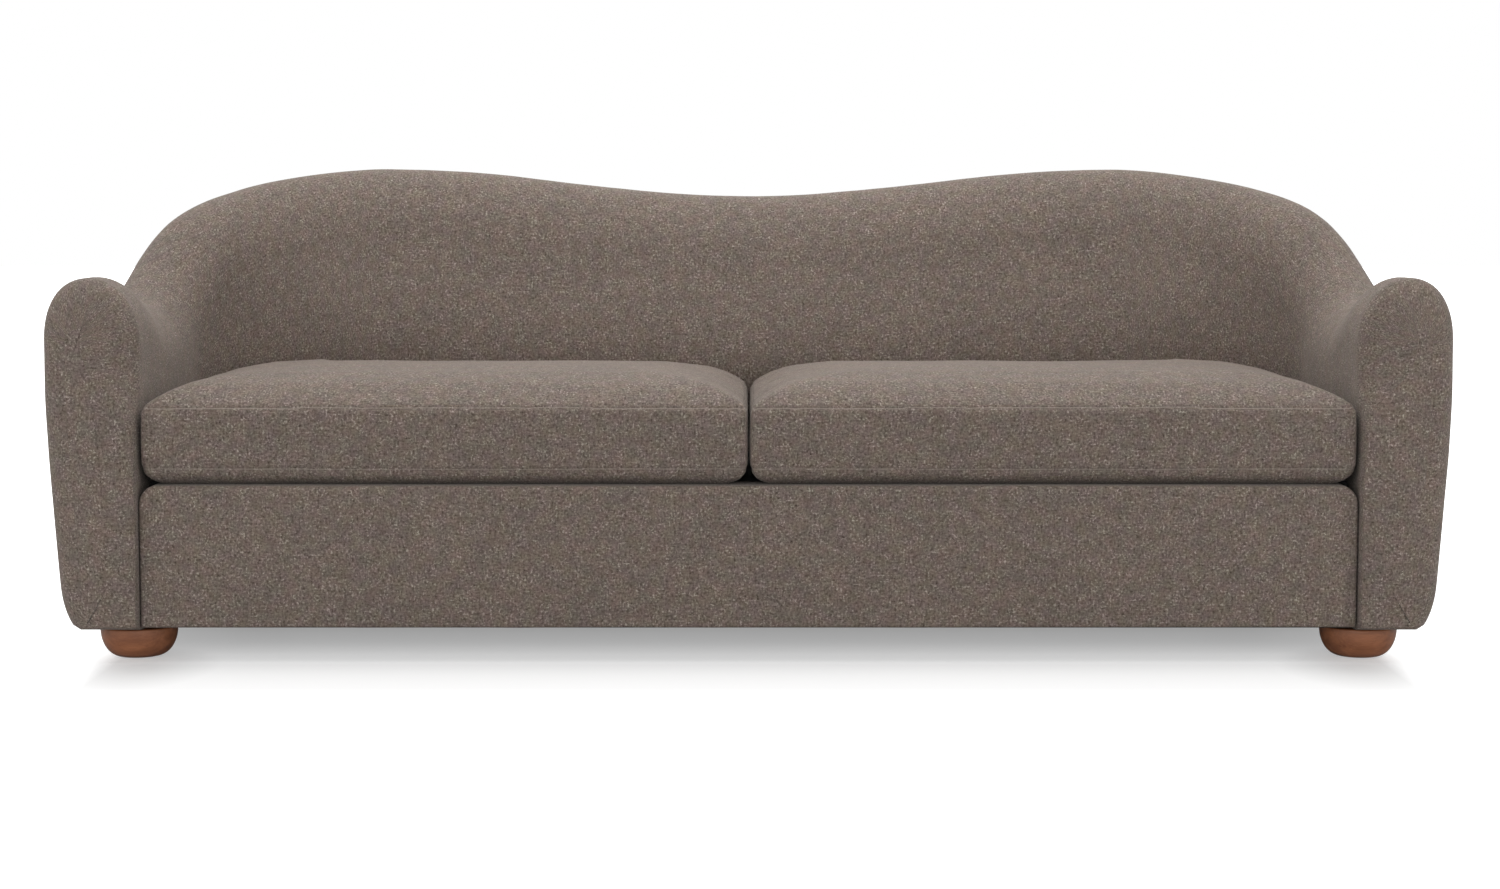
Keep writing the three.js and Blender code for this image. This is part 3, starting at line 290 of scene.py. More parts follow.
# A low blank is rounded below and then stretched, which makes the rounding upright.
blank_height = foot_height / foot_stretch
deselect()
bpy.ops.mesh.primitive_cylinder_add(
    vertices=72, radius=foot_radius, depth=blank_height, location=(0, 0, blank_height / 2)
)
bun = bpy.context.object
bpy.ops.object.transform_apply()
bpy.ops.object.mode_set(mode="EDIT")
bpy.ops.mesh.select_mode(type="EDGE")
for height, edge_radius, steps in (
    (0, foot_radius - sole_radius, 14),
    (blank_height, top_edge, 3),
):
    bpy.ops.mesh.select_all(action="DESELECT")
    mesh = bmesh.from_edit_mesh(bun.data)
    for edge in mesh.edges:
        edge.select = all(abs(v.co.z - height) < 1e-5 for v in edge.verts)
    bpy.ops.mesh.bevel(offset=edge_radius, segments=steps, profile=0.5)
bpy.ops.mesh.select_all(action="SELECT")
bpy.ops.transform.resize(value=(1, 1, foot_stretch), center_override=(0, 0, 0))
bpy.ops.mesh.select_all(action="DESELECT")
bpy.ops.mesh.select_mode(type="FACE")
mesh = bmesh.from_edit_mesh(bun.data)
for face in mesh.faces:
    face.select = face.normal.z > 0.99 and len(face.verts) > 8
mesh.select_flush_mode()
bpy.ops.mesh.inset(thickness=foot_radius - top_edge - bolt_bore)
bpy.ops.mesh.extrude_region_move(TRANSFORM_OT_translate={"value": (0, 0, -bore_depth)})
bpy.ops.object.mode_set(mode="OBJECT")
bpy.ops.object.shade_smooth_by_angle(angle=math.radians(35))

walnut, value, shader = wood_material(
    "walnut_stain", (0.272, 0.106, 0.048), (0.136, 0.047, 0.021), 0.38, grain=(9, 60, 60)
)
value.feed(shader, {"Coat Weight": 0.12, "Coat Roughness": 0.3, "Specular IOR Level": 0.3})
for foot, (x, y) in foot_places.items():
    piece = bun.copy()
    piece.data = bun.data.copy()
    piece.name = f"{foot}_bun"
    bpy.context.collection.objects.link(piece)
    piece.data.transform(Matrix.Translation((x, y, 0)))
    piece.data.materials.append(walnut)
    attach(piece, "sofa_frame")
    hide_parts(f"{foot}_foot")
bpy.data.objects.remove(bun)

# Foot bolts and seat springs: zinc-plated bolts with a coarse thread, and tempered
# steel wire bent to and fro, clipped to the front rail and the spring rail.


def steel_material(name, colour, roughness, ridge=None):
    """Steel with faint drawn lines, and a thread's ridges, that far apart, where asked for."""
    material, value, shader = new_material(name)
    spot = value.spot()
    stretched = value.node("ShaderNodeMapping", {}, {0: spot, "Scale": (60, 60, 900)})
    lines = value.clouds(stretched, detail=3)
    height = lines * 0.2
    if ridge:
        height = height + (spot.split().output("Z") * (2 * math.pi / ridge)).sine()
    value.feed(shader, {
        "Metallic": 1.0,
        "Base Color": lines.within(0.3, 0.7).mixed([c * 0.75 for c in colour], colour),
        "Roughness": roughness + lines * 0.2,
        "Normal": value.bump(height, 0.4, 0.0005),
    })
    return material


thread_pitch = 0.0018
plated_steel = steel_material("plated_bolt", (0.5, 0.5, 0.48), 0.3, thread_pitch)
dress([f"{foot}_foot_bolt" for foot in feet], plated_steel)
spring_steel = steel_material("spring_wire", (0.2, 0.2, 0.21), 0.35)
dress([f"seat_spring_{n}" for n in range(1, 9)], spring_steel)

# The padded wall's run: a crest line goes up the left arm, round the corner, along the
# back and down the right arm. The webbing, deck, padding and panels all follow it.

crest_x, crest_y = 1.105, 0.390
arm_frame_y = -0.430
corner_radius = 0.388
corner_x, corner_y = crest_x - corner_radius, crest_y - corner_radius
arm_length = corner_y - arm_frame_y
corner_length = corner_radius * math.pi / 2
half_run = arm_length + corner_length + corner_x
whole_run = 2 * half_run
# The crest is level over each arm's front, dips behind it, climbs to the hump through the
# corner and comes down to the valley in the middle.
lobe, dip, hump, valley = 0.644, 0.594, 0.836, 0.783
lobe_run, dip_run, hump_run = arm_length * 0.12, arm_length * 0.62, half_run - 0.705
climb_shares = (
    (0, 0), (0.13, 0.02), (0.27, 0.22), (0.45, 0.64), (0.62, 0.83), (0.8, 0.945), (1, 1)
)
# How far the inside and outside faces stand from the crest line, and the rounded top's height.
arm_inner, back_inner = 0.084, 0.105
arm_outer, back_outer = 0.075, 0.100
arm_crown, back_crown = 0.107, 0.120
inner_power, outer_power = 2.0, 2.25
back_lean, lean_foot = 0.107, 0.430
# The outside face draws in below draw_top, and tucks in under the bottom rail.
draw_top, draw_depth, draw_power = 0.450, 0.025, 1.3
tuck_height, tuck_depth = 0.075, 0.028
floor_gap = 0.052
deck_top = 0.297
inside_foot = 0.2484
seam_drop = 0.125


def mix(a, b, share):
    return a + (b - a) * share


def clamp(value, low=0.0, high=1.0):
    return min(high, max(low, value))


def ease(share):
    return (1 - math.cos(math.pi * clamp(share))) / 2


def through(table, at):
    """A smooth curve through rows of (place, value), level at both ends."""
    last = len(table) - 1
    slope = [0.0] * (last + 1)
    for i in range(1, last):
        slope[i] = (table[i + 1][1] - table[i - 1][1]) / (table[i + 1][0] - table[i - 1][0])
    i = 0
    while i < last - 1 and at > table[i + 1][0]:
        i += 1
    run = table[i + 1][0] - table[i][0]
    t = clamp((at - table[i][0]) / run)
    return (
        table[i][1] * (2 * t**3 - 3 * t**2 + 1)
        + slope[i] * run * (t**3 - 2 * t**2 + t)
        + table[i + 1][1] * (3 * t**2 - 2 * t**3)
        + slope[i + 1] * run * (t**3 - t**2)
    )


class Place:
    """A place on the crest line: where it is, which way is outward and how high it is."""

    def __init__(self, run):
        side = 1 if run > half_run else -1
        run = min(run, whole_run - run)
        on_corner = clamp((run - arm_length) / corner_length)
        across, back = math.cos(on_corner * math.pi / 2), math.sin(on_corner * math.pi / 2)
        self.outward = (side * across, back)
        along_back = max(0.0, run - arm_length - corner_length)
        self.x = side * (corner_x + across * corner_radius - along_back)
        self.y = corner_y + back * corner_radius - max(0.0, arm_length - run)
        if run < dip_run:
            self.height = mix(lobe, dip, ease((run - lobe_run) / (dip_run - lobe_run)))
        elif run < hump_run:
            climbed = through(climb_shares, (run - dip_run) / (hump_run - dip_run))
            self.height = mix(dip, hump, climbed)
        else:
            self.height = mix(hump, valley, ease((run - hump_run) / (half_run - hump_run)))
        self.back = ease(on_corner)
        self.inner = mix(arm_inner, back_inner, self.back)
        self.outer = mix(arm_outer, back_outer, self.back)
        self.crown = mix(arm_crown, back_crown, self.back)
        self.crown_foot = self.height - self.crown
        self.seam = self.height - seam_drop

    def lean(self, z):
        return back_lean * self.back * ease((self.height - z) / (self.height - lean_foot))

    def inside(self, z, inset=0.0):
        return (inset - self.inner - self.lean(z), z)

    def outside(self, z, inset=0.0):
        share = clamp((draw_top - z) / (draw_top - floor_gap))
        rolled = clamp((floor_gap + tuck_height - z) / tuck_height)
        tuck = tuck_depth * (1 - math.sqrt(1 - rolled * rolled))
        return (self.outer - inset - draw_depth * share**draw_power - tuck, z)

    def over_top(self, steps, inset=0.0):
        """Points over the rounded top, from the inside face to the outside face."""
        line = []
        for i in range(steps + 1):
            angle = math.pi * i / steps
            inner_half = angle < math.pi / 2
            power = 2 / (inner_power if inner_half else outer_power)
            across = abs(math.cos(angle)) ** power
            z = self.crown_foot + (self.crown - inset) * abs(math.sin(angle)) ** power
            if inner_half or i * 2 == steps:
                line.append((-(self.inner - inset) * across - self.lean(z), z))
            else:
                line.append(((self.outer - inset) * across, z))
        return line

    def at(self, out, z):
        return (self.x + self.outward[0] * out, self.y + self.outward[1] * out, z)


def evenly(line, count):
    """count + 1 points at even spacing along a line of points."""
    line = np.array(line, dtype=float)
    lengths = np.concatenate([[0], np.cumsum(np.linalg.norm(np.diff(line, axis=0), axis=1))])
    stops = np.linspace(0, lengths[-1], count + 1)
    return np.stack([np.interp(stops, lengths, line[:, i]) for i in range(line.shape[1])], axis=1)


def ring_faces(rings, around, start=0):
    """Faces from ring to ring of a closed form, and one over each end."""
    faces = []
    for first in range(start, start + (rings - 1) * around, around):
        for i in range(around):
            a, b = first + i, first + (i + 1) % around
            faces.append((a, b, b + around, a + around))
    end = start + (rings - 1) * around
    return [*faces, tuple(range(start, start + around))[::-1], tuple(range(end, end + around))]


def face_outward(mesh, merged=False):
    """Turns a closed mesh's faces outward, after its doubles are merged where asked."""
    bm = bmesh.new()
    bm.from_mesh(mesh)
    if merged:
        bmesh.ops.remove_doubles(bm, verts=bm.verts, dist=2e-6)
    bmesh.ops.recalc_face_normals(bm, faces=bm.faces)
    bm.to_mesh(mesh)
    bm.free()


def new_piece(name, mesh):
    piece = bpy.data.objects.new(name, mesh)
    bpy.context.collection.objects.link(piece)
    return piece


def cloth_piece(
    name, points, faces, cloth_place, material, *nodes,
    fill=0.6, body="sofa_frame", slot="upholstery", padded=True,
):
    """A cloth-covered piece. cloth_place(face, point) is where a corner lies on its cloth."""
    mesh = bpy.data.meshes.new(name)
    mesh.from_pydata([tuple(point) for point in points], [], faces)
    layer = mesh.uv_layers.new(name="cloth")
    places = [cloth_place(f, v) for f, face in enumerate(faces) for v in face]
    layer.data.foreach_set("uv", np.array(places, dtype=np.float32).ravel())
    face_outward(mesh, merged=True)
    mesh.shade_smooth()
    mesh.materials.append(material)
    piece = new_piece(name, mesh)
    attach(piece, body)
    if nodes:
        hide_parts(*nodes)
    return piece


# Back webbing: woven jute and polypropylene straps, over and under each other, stapled
# to the ribs, the crest rail and the rear rail behind the inside back's padding.

strap_width, strap_thickness = 0.060, 0.0012
strap_weave = 0.0007
web_low, web_high = 0.278, 0.633
web_rows = (web_low, 0.4255, web_high)
web_columns = 8
web_reach, web_inset = 0.028, 0.0394
column_steps, row_steps = 32, 112
# The corners of a strap's section, and of a staple or a zip's tooth.
square = ((-1, -1), (1, -1), (1, 1), (-1, 1))


def cloth_spot(value, seed, across, along):
    """The place on the cloth, stretched, and moved to a stretch of noise of its own."""
    settings = {"Location": (seed, seed * 1.7, 0), "Scale": (across, along, 1)}
    uv = value.node("ShaderNodeUVMap", {"uv_map": "cloth"})
    return value.node("ShaderNodeMapping", {}, {0: uv, **settings})


def strap_material():
    material, value, shader = new_material("webbing_straps")
    place = value.node("ShaderNodeUVMap", {"uv_map": "cloth"}).split()
    ribs = (place.output("X") * 1800).sine()
    stripes = (place.output("Y") * 520).sine().within(0.55, 0.75)
    fuzz = value.clouds(cloth_spot(value, 3, 400, 400))
    yarn = stripes.mixed((0.1, 0.075, 0.055), (0.02, 0.017, 0.015))
    value.feed(shader, {
        "Base Color": (fuzz * 0.5).mixed(yarn, (0.16, 0.12, 0.09)),
        "Roughness": 0.85,
        "Normal": value.bump(ribs + fuzz, 0.5, 0.0006),
    })
    return material


def web_face(x, z):
    out, z = Place(half_run + x).inside(z, web_inset)
    return Vector((x, crest_y + out, z))


def woven(x, z, crossing):
    """A place on a strap, which goes over the others at even crossings and under at odd ones."""
    return web_face(x, z) - Vector((0, strap_weave * math.cos(math.pi * crossing), 0))


points, faces, cloth = [], [], []


def add_strap(centres, side, normal):
    """Adds a thin band along centres, with side across it and normal up from it."""
    faces.extend(ring_faces(len(centres), len(square), len(points)))
    run = 0.0
    for i, centre in enumerate(centres):
        if i:
            run += (centre - centres[i - 1]).length
        for across, up in square:
            across *= strap_width / 2
            points.append(centre + side * across + normal * up * strap_thickness / 2)
            cloth.append((run, across))


for column in range(web_columns):
    x = mix(-corner_x, corner_x, column / (web_columns - 1))
    x = clamp(x, -corner_x + strap_width / 2, corner_x - strap_width / 2)
    centres = []
    for k in range(column_steps + 1):
        z = mix(web_low - web_reach, web_high + web_reach, k / column_steps)
        row = (z - web_low) / (web_high - web_low) * (len(web_rows) - 1)
        centres.append(woven(x, z, row + column))
    add_strap(centres, Vector((1, 0, 0)), Vector((0, -1, 0)))
for row, z in enumerate(web_rows):
    centres = []
    for k in range(row_steps + 1):
        x = mix(-corner_x, corner_x, k / row_steps)
        column = k / row_steps * (web_columns - 1)
        centres.append(woven(x, z, row + column + 1))
    slope = (web_face(0, z + 0.01) - web_face(0, z - 0.01)).normalized()
    add_strap(centres, slope, Vector((0, -slope.z, slope.y)))
cloth_piece(
    "woven_back_webbing", points, faces, lambda f, v: cloth[v], strap_material(), "back_webbing",
    slot="webbing", padded=False,
)

# Seat deck: black platform cloth over a thin felt pad, stretched over the springs and
# tacked to the rails. The loose cushions lie on it.


def plain_cloth(name, colour, pitch):
    """Plain-woven cloth with threads that far apart."""
    material, value, shader = new_material(name)
    place = value.node("ShaderNodeUVMap", {"uv_map": "cloth"}).split()
    warp = (place.output("X") * (math.pi / pitch)).sine()
    weft = (place.output("Y") * (math.pi / pitch)).sine()
    fuzz = value.clouds(cloth_spot(value, 7, 500, 500))
    slubs = value.clouds(cloth_spot(value, 9, 30, 30))
    tone = (fuzz * 0.6 + slubs * 0.4).within(0.3, 0.7)
    value.feed(shader, {
        "Base Color": tone.mixed([c * 0.6 for c in colour], [c * 1.4 for c in colour]),
        "Roughness": 0.9,
        "Normal": value.bump(warp * weft + fuzz, 0.4, 0.0004),
    })
    return material


deck_front, deck_foot = -0.3796, 0.262
deck_edge = 0.007
deck_overlap = 0.0006
# The pad slopes to a line along the middle of the seat: half its length, and where it lies.
deck_half_line, deck_line_y = 0.62, -0.1
# Rings of the deck, each by how far it lies inside the edge, and its height.
deck_rings = [(0.0, deck_foot), (0.0, deck_top - deck_edge)]
deck_rings += [
    (deck_edge * (1 - math.cos(angle)), deck_top - deck_edge * (1 - math.sin(angle)))
    for angle in (0.5, 1.0, 1.57)
]
deck_rings += [(0.04, deck_top), (0.12, deck_top - 0.0015), (0.22, deck_top - 0.003)]


def plan_outline(start, count, out_of):
    """Points in plan round the seat, from the left arm round the back to the right arm."""
    outline = []
    for i in range(count + 1):
        place = Place(mix(start, whole_run - start, i / count))
        outline.append(place.at(out_of(place), 0)[:2])
    return outline


around_steps, front_steps = 160, 40
deck_line = plan_outline(
    deck_front - arm_frame_y, around_steps,
    lambda place: place.inside(deck_top, -deck_overlap)[0],
)
deck_line += [
    (mix(deck_line[-1][0], deck_line[0][0], i / front_steps), deck_front)
    for i in range(1, front_steps)
]
deck_points = []
for inset, z in deck_rings:
    for x, y in deck_line:
        to_line = Vector((clamp(x, -deck_half_line, deck_half_line) - x, deck_line_y - y))
        share = inset / to_line.length
        deck_points.append((x + to_line.x * share, y + to_line.y * share, z))
deck_faces = ring_faces(len(deck_rings), len(deck_line))
cloth_piece(
    "padded_seat_deck", deck_points, deck_faces, lambda f, v: deck_points[v][:2],
    plain_cloth("platform_cloth", (0.03, 0.029, 0.029), 0.0014), "seat_deck",
    fill=0.3, slot="undercloth",
)

# Dust cover: thin black non-woven cloth, stretched under the frame and stapled to the
# rails, with the foot bolts through it.

dust_low, dust_thickness = 0.0525, 0.0012
dust_inset, dust_start = 0.013, 0.0008
bolt_hole, hole_steps = 0.0056, 16
cover_steps = 150


def under_frame(start, inset):
    """The outline of the frame's underside, that far in from the covers' outside."""
    return plan_outline(start, cover_steps, lambda place: place.outside(floor_gap)[0] - inset)


def apply_modifier(piece, kind, **settings):
    deselect()
    bpy.context.view_layer.objects.active = piece
    piece.select_set(True)
    modifier = piece.modifiers.new(kind.lower(), kind)
    for name, setting in settings.items():
        setattr(modifier, name, setting)
    bpy.ops.object.modifier_apply(modifier=modifier.name)


under_line = under_frame(dust_start, dust_inset)
under_area = 0.5 * abs(sum(
    x * next_y - next_x * y
    for (x, y), (next_x, next_y) in zip(under_line, under_line[1:] + under_line[:1])
))
rims = [under_line]
for x, y in foot_places.values():
    turns = [2 * math.pi * k / hole_steps for k in range(hole_steps)]
    rims.append([(x + bolt_hole * math.cos(turn), y + bolt_hole * math.sin(turn)) for turn in turns])
bm = bmesh.new()
for rim in rims:
    rim = [bm.verts.new((x, y, dust_low + dust_thickness)) for x, y in rim]
    for a, b in zip(rim, rim[1:] + rim[:1]):
        bm.edges.new((a, b))
bmesh.ops.triangle_fill(bm, edges=bm.edges, use_beauty=True, use_dissolve=False, normal=(0, 0, -1))
dust_mesh = bpy.data.meshes.new("stapled_dust_cover")
bm.to_mesh(dust_mesh)
bm.free()
dust_uv = dust_mesh.uv_layers.new(name="cloth")
for loop in dust_mesh.loops:
    dust_uv.data[loop.index].uv = dust_mesh.vertices[loop.vertex_index].co.xy
dust_cover = new_piece("stapled_dust_cover", dust_mesh)
upward = dust_mesh.polygons[0].normal.z > 0
apply_modifier(dust_cover, "SOLIDIFY", thickness=dust_thickness, offset=-1 if upward else 1)
bpy.ops.object.mode_set(mode="EDIT")
bpy.ops.mesh.select_all(action="SELECT")
bpy.ops.mesh.normals_make_consistent(inside=False)
bpy.ops.object.mode_set(mode="OBJECT")
dust_mesh.materials.append(plain_cloth("dust_cloth", (0.018, 0.018, 0.019), 0.001))
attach(dust_cover, "sofa_frame")
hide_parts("dust_cover")

staple_inset, staple_start = 0.026, 0.02
staple_length, staple_width = 0.010, 0.0012
staple_levels = (0.0521, 0.0528)
side_staples, front_staples = 62, 30
front_staple_x, front_staple_y = 1.0, arm_frame_y + 0.012
staple_line = evenly(under_frame(staple_start, staple_inset), side_staples).tolist()
staple_places = []
for i, (x, y) in enumerate(staple_line):
    before, after = staple_line[max(i - 1, 0)], staple_line[min(i + 1, side_staples)]
    along = Vector((after[0] - before[0], after[1] - before[1])).normalized()
    staple_places.append((Vector((x, y)), along))
for i in range(front_staples + 1):
    x = mix(-front_staple_x, front_staple_x, i / front_staples)
    staple_places.append((Vector((x, front_staple_y)), Vector((1, 0))))
staple_points, staple_faces = [], []
for centre, along in staple_places:
    across = Vector((-along.y, along.x))
    staple_faces += ring_faces(2, len(square), len(staple_points))
    for z in staple_levels:
        for a, b in square:
            corner = centre + along * a * staple_length / 2 + across * b * staple_width / 2
            staple_points.append((*corner, z))
staples = cloth_piece(
    "dust_cover_staples", staple_points, staple_faces, lambda f, v: staple_points[v][:2],
    steel_material("staple_wire", (0.55, 0.55, 0.54), 0.3), slot="steel", padded=False,
)
staples.data.shade_flat()

# Inside back, arms and arm fronts: layers of foam and wadding under one run of tweed,
# glued and stapled over the ribs and pulled down over the outside edge of the top.

pad_thickness = 0.038
# Where the cover turns in at the outside seam: how far in, and how far above the seam.
seam_edge = ((0.0, 0.006), (0.0016, 0.0018), (0.0055, 0.0))
inside_rows, top_rows = 40, 80


def tweed_material(name, seamed=False):
    """Heathered tweed: warm and cool brown yarns with pale slubs, mostly in loose clusters.
    On the cushions, each seam shows as a thin paler line, its thread with a painted highlight, beside
    painted shade in its crease."""
    material, value, shader = new_material(name)

    def yarns(seed, across, along, detail=1.0):
        return value.clouds(cloth_spot(value, seed, across, along), 1, detail, 0.6, flat=True)

    weft = yarns(5, 120, 360)
    warp = yarns(11, 360, 120)
    twist = yarns(17, 230, 230, 2.0)
    slubs = yarns(43, 260, 260)
    clusters = yarns(41, 48, 48, 2.0).within(0.37, 0.63)
    weave = twist * 0.6 + weft * 0.2 + warp * 0.2
    warm, cool = (0.119, 0.0908, 0.074), (0.113, 0.0898, 0.0775)
    ground = yarns(1, 30, 30).within(0.36, 0.64).mixed(warm, cool)
    dark = 1.0 - weave.within(0.27, 0.5)
    cloth = dark.mixed(ground, (0.036, 0.0255, 0.019))
    pale = weave.within(0.53, 0.74)
    cloth = (pale * 0.52).mixed(cloth, (0.25, 0.21, 0.18))
    nubs = (slubs * 0.65 + weft.maths("MAXIMUM", weft, warp) * 0.35).within(0.56, 0.72)
    nubs = nubs * (clusters * 0.8 + 0.2)
    cloth = (nubs * 0.6).mixed(cloth, (0.38, 0.335, 0.29))
    for tone, low, high in (
        (yarns(23, 9, 9), (0.96, 0.965, 0.97), (1.04, 1.03, 1.02)),
        (yarns(29, 48, 48), (0.915, 0.915, 0.915), (1.085, 1.085, 1.085)),
        (yarns(53, 42, 42), (1.024, 0.976, 1.024), (0.976, 1.024, 0.976)),
    ):
        cloth = cloth.tinted(tone.within(0.3, 0.7).mixed(low, high))
    height = weave * 1.4 + nubs * 0.4
    if seamed:
        for line, paleness in (("upper_seam", 0.3), ("lower_seam", 0.18)):
            off = value.node("ShaderNodeAttribute", {"attribute_name": line}, {}, "Fac") - 1.0
            off = off.maths("ABSOLUTE", off)
            # The paler line is thread with a painted highlight, and the darker band beside it is
            # painted shade in the crease.
            thread = 1.0 - off.within(0.0006, 0.0019)
            crease_and_painted_shade = 1.0 - off.within(0.001, 0.005)
            cloth = (crease_and_painted_shade * 0.16).mixed(cloth, (0.05, 0.04, 0.034))
            cloth = (thread * paleness).mixed(cloth, (0.36, 0.31, 0.27))
            height = height - crease_and_painted_shade * 0.4
    value.feed(shader, {
        "Base Color": cloth,
        "Roughness": 0.92,
        "Specular IOR Level": 0.15,
        "Sheen Weight": 0.10,
        "Sheen Roughness": 0.45,
        "Sheen Tint": (1.0, 0.94, 0.86, 1),
        "Normal": value.bump(height, 0.35, 0.0012),
    })
    return material


tweed = tweed_material("brown_tweed")


def cover_line(place, inset=0.0):
    """The padding's face from the deck over the top down to the outside seam."""
    heights = [mix(inside_foot, place.crown_foot, k / inside_rows) for k in range(inside_rows)]
    line = [place.inside(z, inset) for z in heights] + place.over_top(top_rows, inset)
    line.append(place.outside(place.seam + seam_edge[0][1], inset))
    return line


def soften(piece, wanted, coarse=0.0014, fine=0.0004):
    """Gives the padding the slight unevenness of wadding under cloth, where it is wanted."""
    normals = [vertex.normal.copy() for vertex in piece.data.vertices]
    for vertex, normal in zip(piece.data.vertices, normals):
        share = wanted(vertex.co)
        if share:
            rise = noise.noise(vertex.co * 5.5) * coarse + noise.noise(vertex.co * 21) * fine
            vertex.co += normal * rise * share


run_count, rows = 283, 68
runs = list(np.linspace(0, whole_run, run_count))
wall_cloth_length = 0.82
points, cloth = [], []
for run in runs:
    place = Place(run)
    line = evenly(cover_line(place), rows - 2).tolist()
    line += [[place.outside(place.seam)[0] - back, place.seam + up] for back, up in seam_edge[1:]]
    points += [place.at(*point) for point in line]
    cloth += [(run, wall_cloth_length * k / rows) for k in range(rows + 1)]
lining_start = len(points)
for run in runs:
    place = Place(run)
    line = cover_line(place, pad_thickness)[:-1] + [place.outside(place.seam, pad_thickness)]
    points += [place.at(*point) for point in evenly(line, rows)]
    cloth += [(run, wall_cloth_length * k / rows) for k in range(rows + 1)]
faces = []
column = rows + 1
for i in range(len(runs) - 1):
    for j in range(rows):
        a = i * column + j
        faces.append((a, a + 1, a + 1 + column, a + column))
        a += lining_start
        faces.append((a, a + column, a + 1 + column, a + 1))
    for j in (0, rows):
        a, b = i * column + j, (i + 1) * column + j
        faces.append((a, b, b + lining_start, a + lining_start))

# An arm's front: how far its rounding comes in from each edge, and on the inside by height.
arm_edge, arm_top_edge = 0.046, 0.083
shoulder_edge, foot_edge = 0.088, 0.010
edge_fade = 0.02
shoulder = lobe - arm_crown
inner_edges = (
    (floor_gap, 0.005), (deck_top, 0.005), (0.430, 0.024), (0.4835, 0.072), (shoulder, shoulder_edge)
)
front_depth = 0.052
front_crown, crown_top, crown_foot = 0.008, 0.54, 0.062
crown_top_fade, crown_foot_fade = 0.16, 0.1
round_steps, flat_steps, flat_share = 12, 12, 0.94
inside_steps, outside_steps, foot_steps = 16, 44, 10
# Rows of points crowd a little towards the end of their run.
crowding = 0.8
# The flat middle closes in on an upright line between these heights.
spine_low, spine_high = 0.13, 0.52
# Where the cloth under the foot and that of the flat middle start, away from the rest.
foot_cloth, foot_cloth_step, front_cloth = 1.3, 0.01, 5
flat_faces = set()


def edge_rounding(place, out, z):
    """How far the rounding of an arm's front comes in from a point of its outline."""
    if z > place.crown_foot:
        across = -(out / (place.inner if out < 0 else place.outer))
        rise = (z - place.crown_foot) / place.crown
        return ((shoulder_edge if out < 0 else arm_edge) * across, -arm_top_edge * rise)
    above_foot = clamp((z - floor_gap) / edge_fade)
    up = foot_edge * (1 - above_foot)
    if out < 0:
        return (through(inner_edges, z), up)
    return (-arm_edge * mix(0.5, 1, above_foot), up)


def front_swell(place, x, z):
    """How far the wadding swells forward between the roundings of an arm's front."""
    out = (x - place.x) / place.outward[0]
    inner = through(inner_edges, clamp(z, crown_foot, shoulder)) - place.inner
    outer = place.outside(z)[0] - arm_edge
    across = (2 * out - inner - outer) / (outer - inner)
    upright = ease((crown_top - z) / crown_top_fade) * ease((z - crown_foot) / crown_foot_fade)
    return front_crown * upright * max(0, 1 - across**2)


for end in (0, len(runs) - 1):
    place = Place(runs[end])
    ahead = -1 if end == 0 else 1
    first = end * column
    # The rim: number of each point, its place in the section, how far its rounding comes in.
    rim = []

    def add_to_rim(out, z, along, rounding):
        rim.append((len(points), out, z, *rounding))
        points.append(place.at(out, z))
        cloth.append((runs[end], along))

    for k in range(inside_steps):
        out, z = place.inside(mix(floor_gap, inside_foot, k / inside_steps))
        add_to_rim(out, z, z - inside_foot, edge_rounding(place, out, z))
    for number in range(first, first + column):
        x, _, z = points[number]
        out = (x - place.x) / place.outward[0]
        if number > first + column - 3:
            out = place.outer
        rim.append((number, out, z, *edge_rounding(place, out, z)))
    for k in range(1, outside_steps + 1):
        out, z = place.outside(mix(place.seam, floor_gap, (k / outside_steps) ** crowding))
        add_to_rim(out, z, wall_cloth_length + place.seam - z, edge_rounding(place, out, z))
    foot_outside, foot_inside = place.outside(floor_gap)[0], place.inside(floor_gap)[0]
    for k in range(1, foot_steps):
        out = mix(foot_outside, foot_inside, k / foot_steps)
        inward = mix(-arm_edge / 2, inner_edges[0][1], k / foot_steps)
        add_to_rim(out, floor_gap, foot_cloth + k * foot_cloth_step, (inward, foot_edge))
    ring = [number for number, *_ in rim]
    # The back of the front padding, which meets the lining of the arm.
    faces.append((
        *ring[:inside_steps + 1],
        *(first + lining_start + k for k in range(column)),
        *ring[inside_steps + rows:],
    ))
    rings = [ring]
    before = [Vector(points[number]) for number in ring]
    travelled = [0.0] * len(rim)
    for k in range(1, round_steps + 1):
        angle = k / round_steps * math.pi / 2
        forward, inward = math.sin(angle), 1 - math.cos(angle)
        rings.append(range(len(points), len(points) + len(rim)))
        for i, (number, out, z, edge_out, edge_up) in enumerate(rim):
            x, _, z = place.at(out + edge_out * inward, z + edge_up * inward)
            here = Vector((x, arm_frame_y - front_depth * forward, z))
            travelled[i] += (here - before[i]).length
            before[i] = here
            points.append(here)
            cloth.append((cloth[number][0] + ahead * travelled[i], cloth[number][1]))
    flat_from = len(rings) - 1
    flat_rim = [points[number] for number in rings[-1]]
    for k in range(1, flat_steps + 1):
        share = flat_share * k / flat_steps
        rings.append(range(len(points), len(points) + len(rim)))
        for x, y, z in flat_rim:
            level = clamp(z, spine_low, spine_high)
            flat_inside = through(inner_edges, level) - place.inner
            flat_outside = place.outside(level)[0] - arm_edge
            middle = place.at((flat_inside + flat_outside) / 2, level)[0]
            x, z = mix(x, middle, share), mix(z, level, share)
            points.append((x, y - front_swell(place, x, z), z))
            cloth.append((0, 0))
    for k in range(len(rings) - 1):
        for i in range(len(rim)):
            j = (i + 1) % len(rim)
            if k >= flat_from:
                flat_faces.add(len(faces))
            faces.append((rings[k][i], rings[k][j], rings[k + 1][j], rings[k + 1][i]))
    flat_faces.add(len(faces))
    faces.append(tuple(rings[-1]))


def wall_cloth(face, point):
    if face in flat_faces:
        return (points[point][0] + front_cloth, points[point][2] + front_cloth)
    return cloth[point]


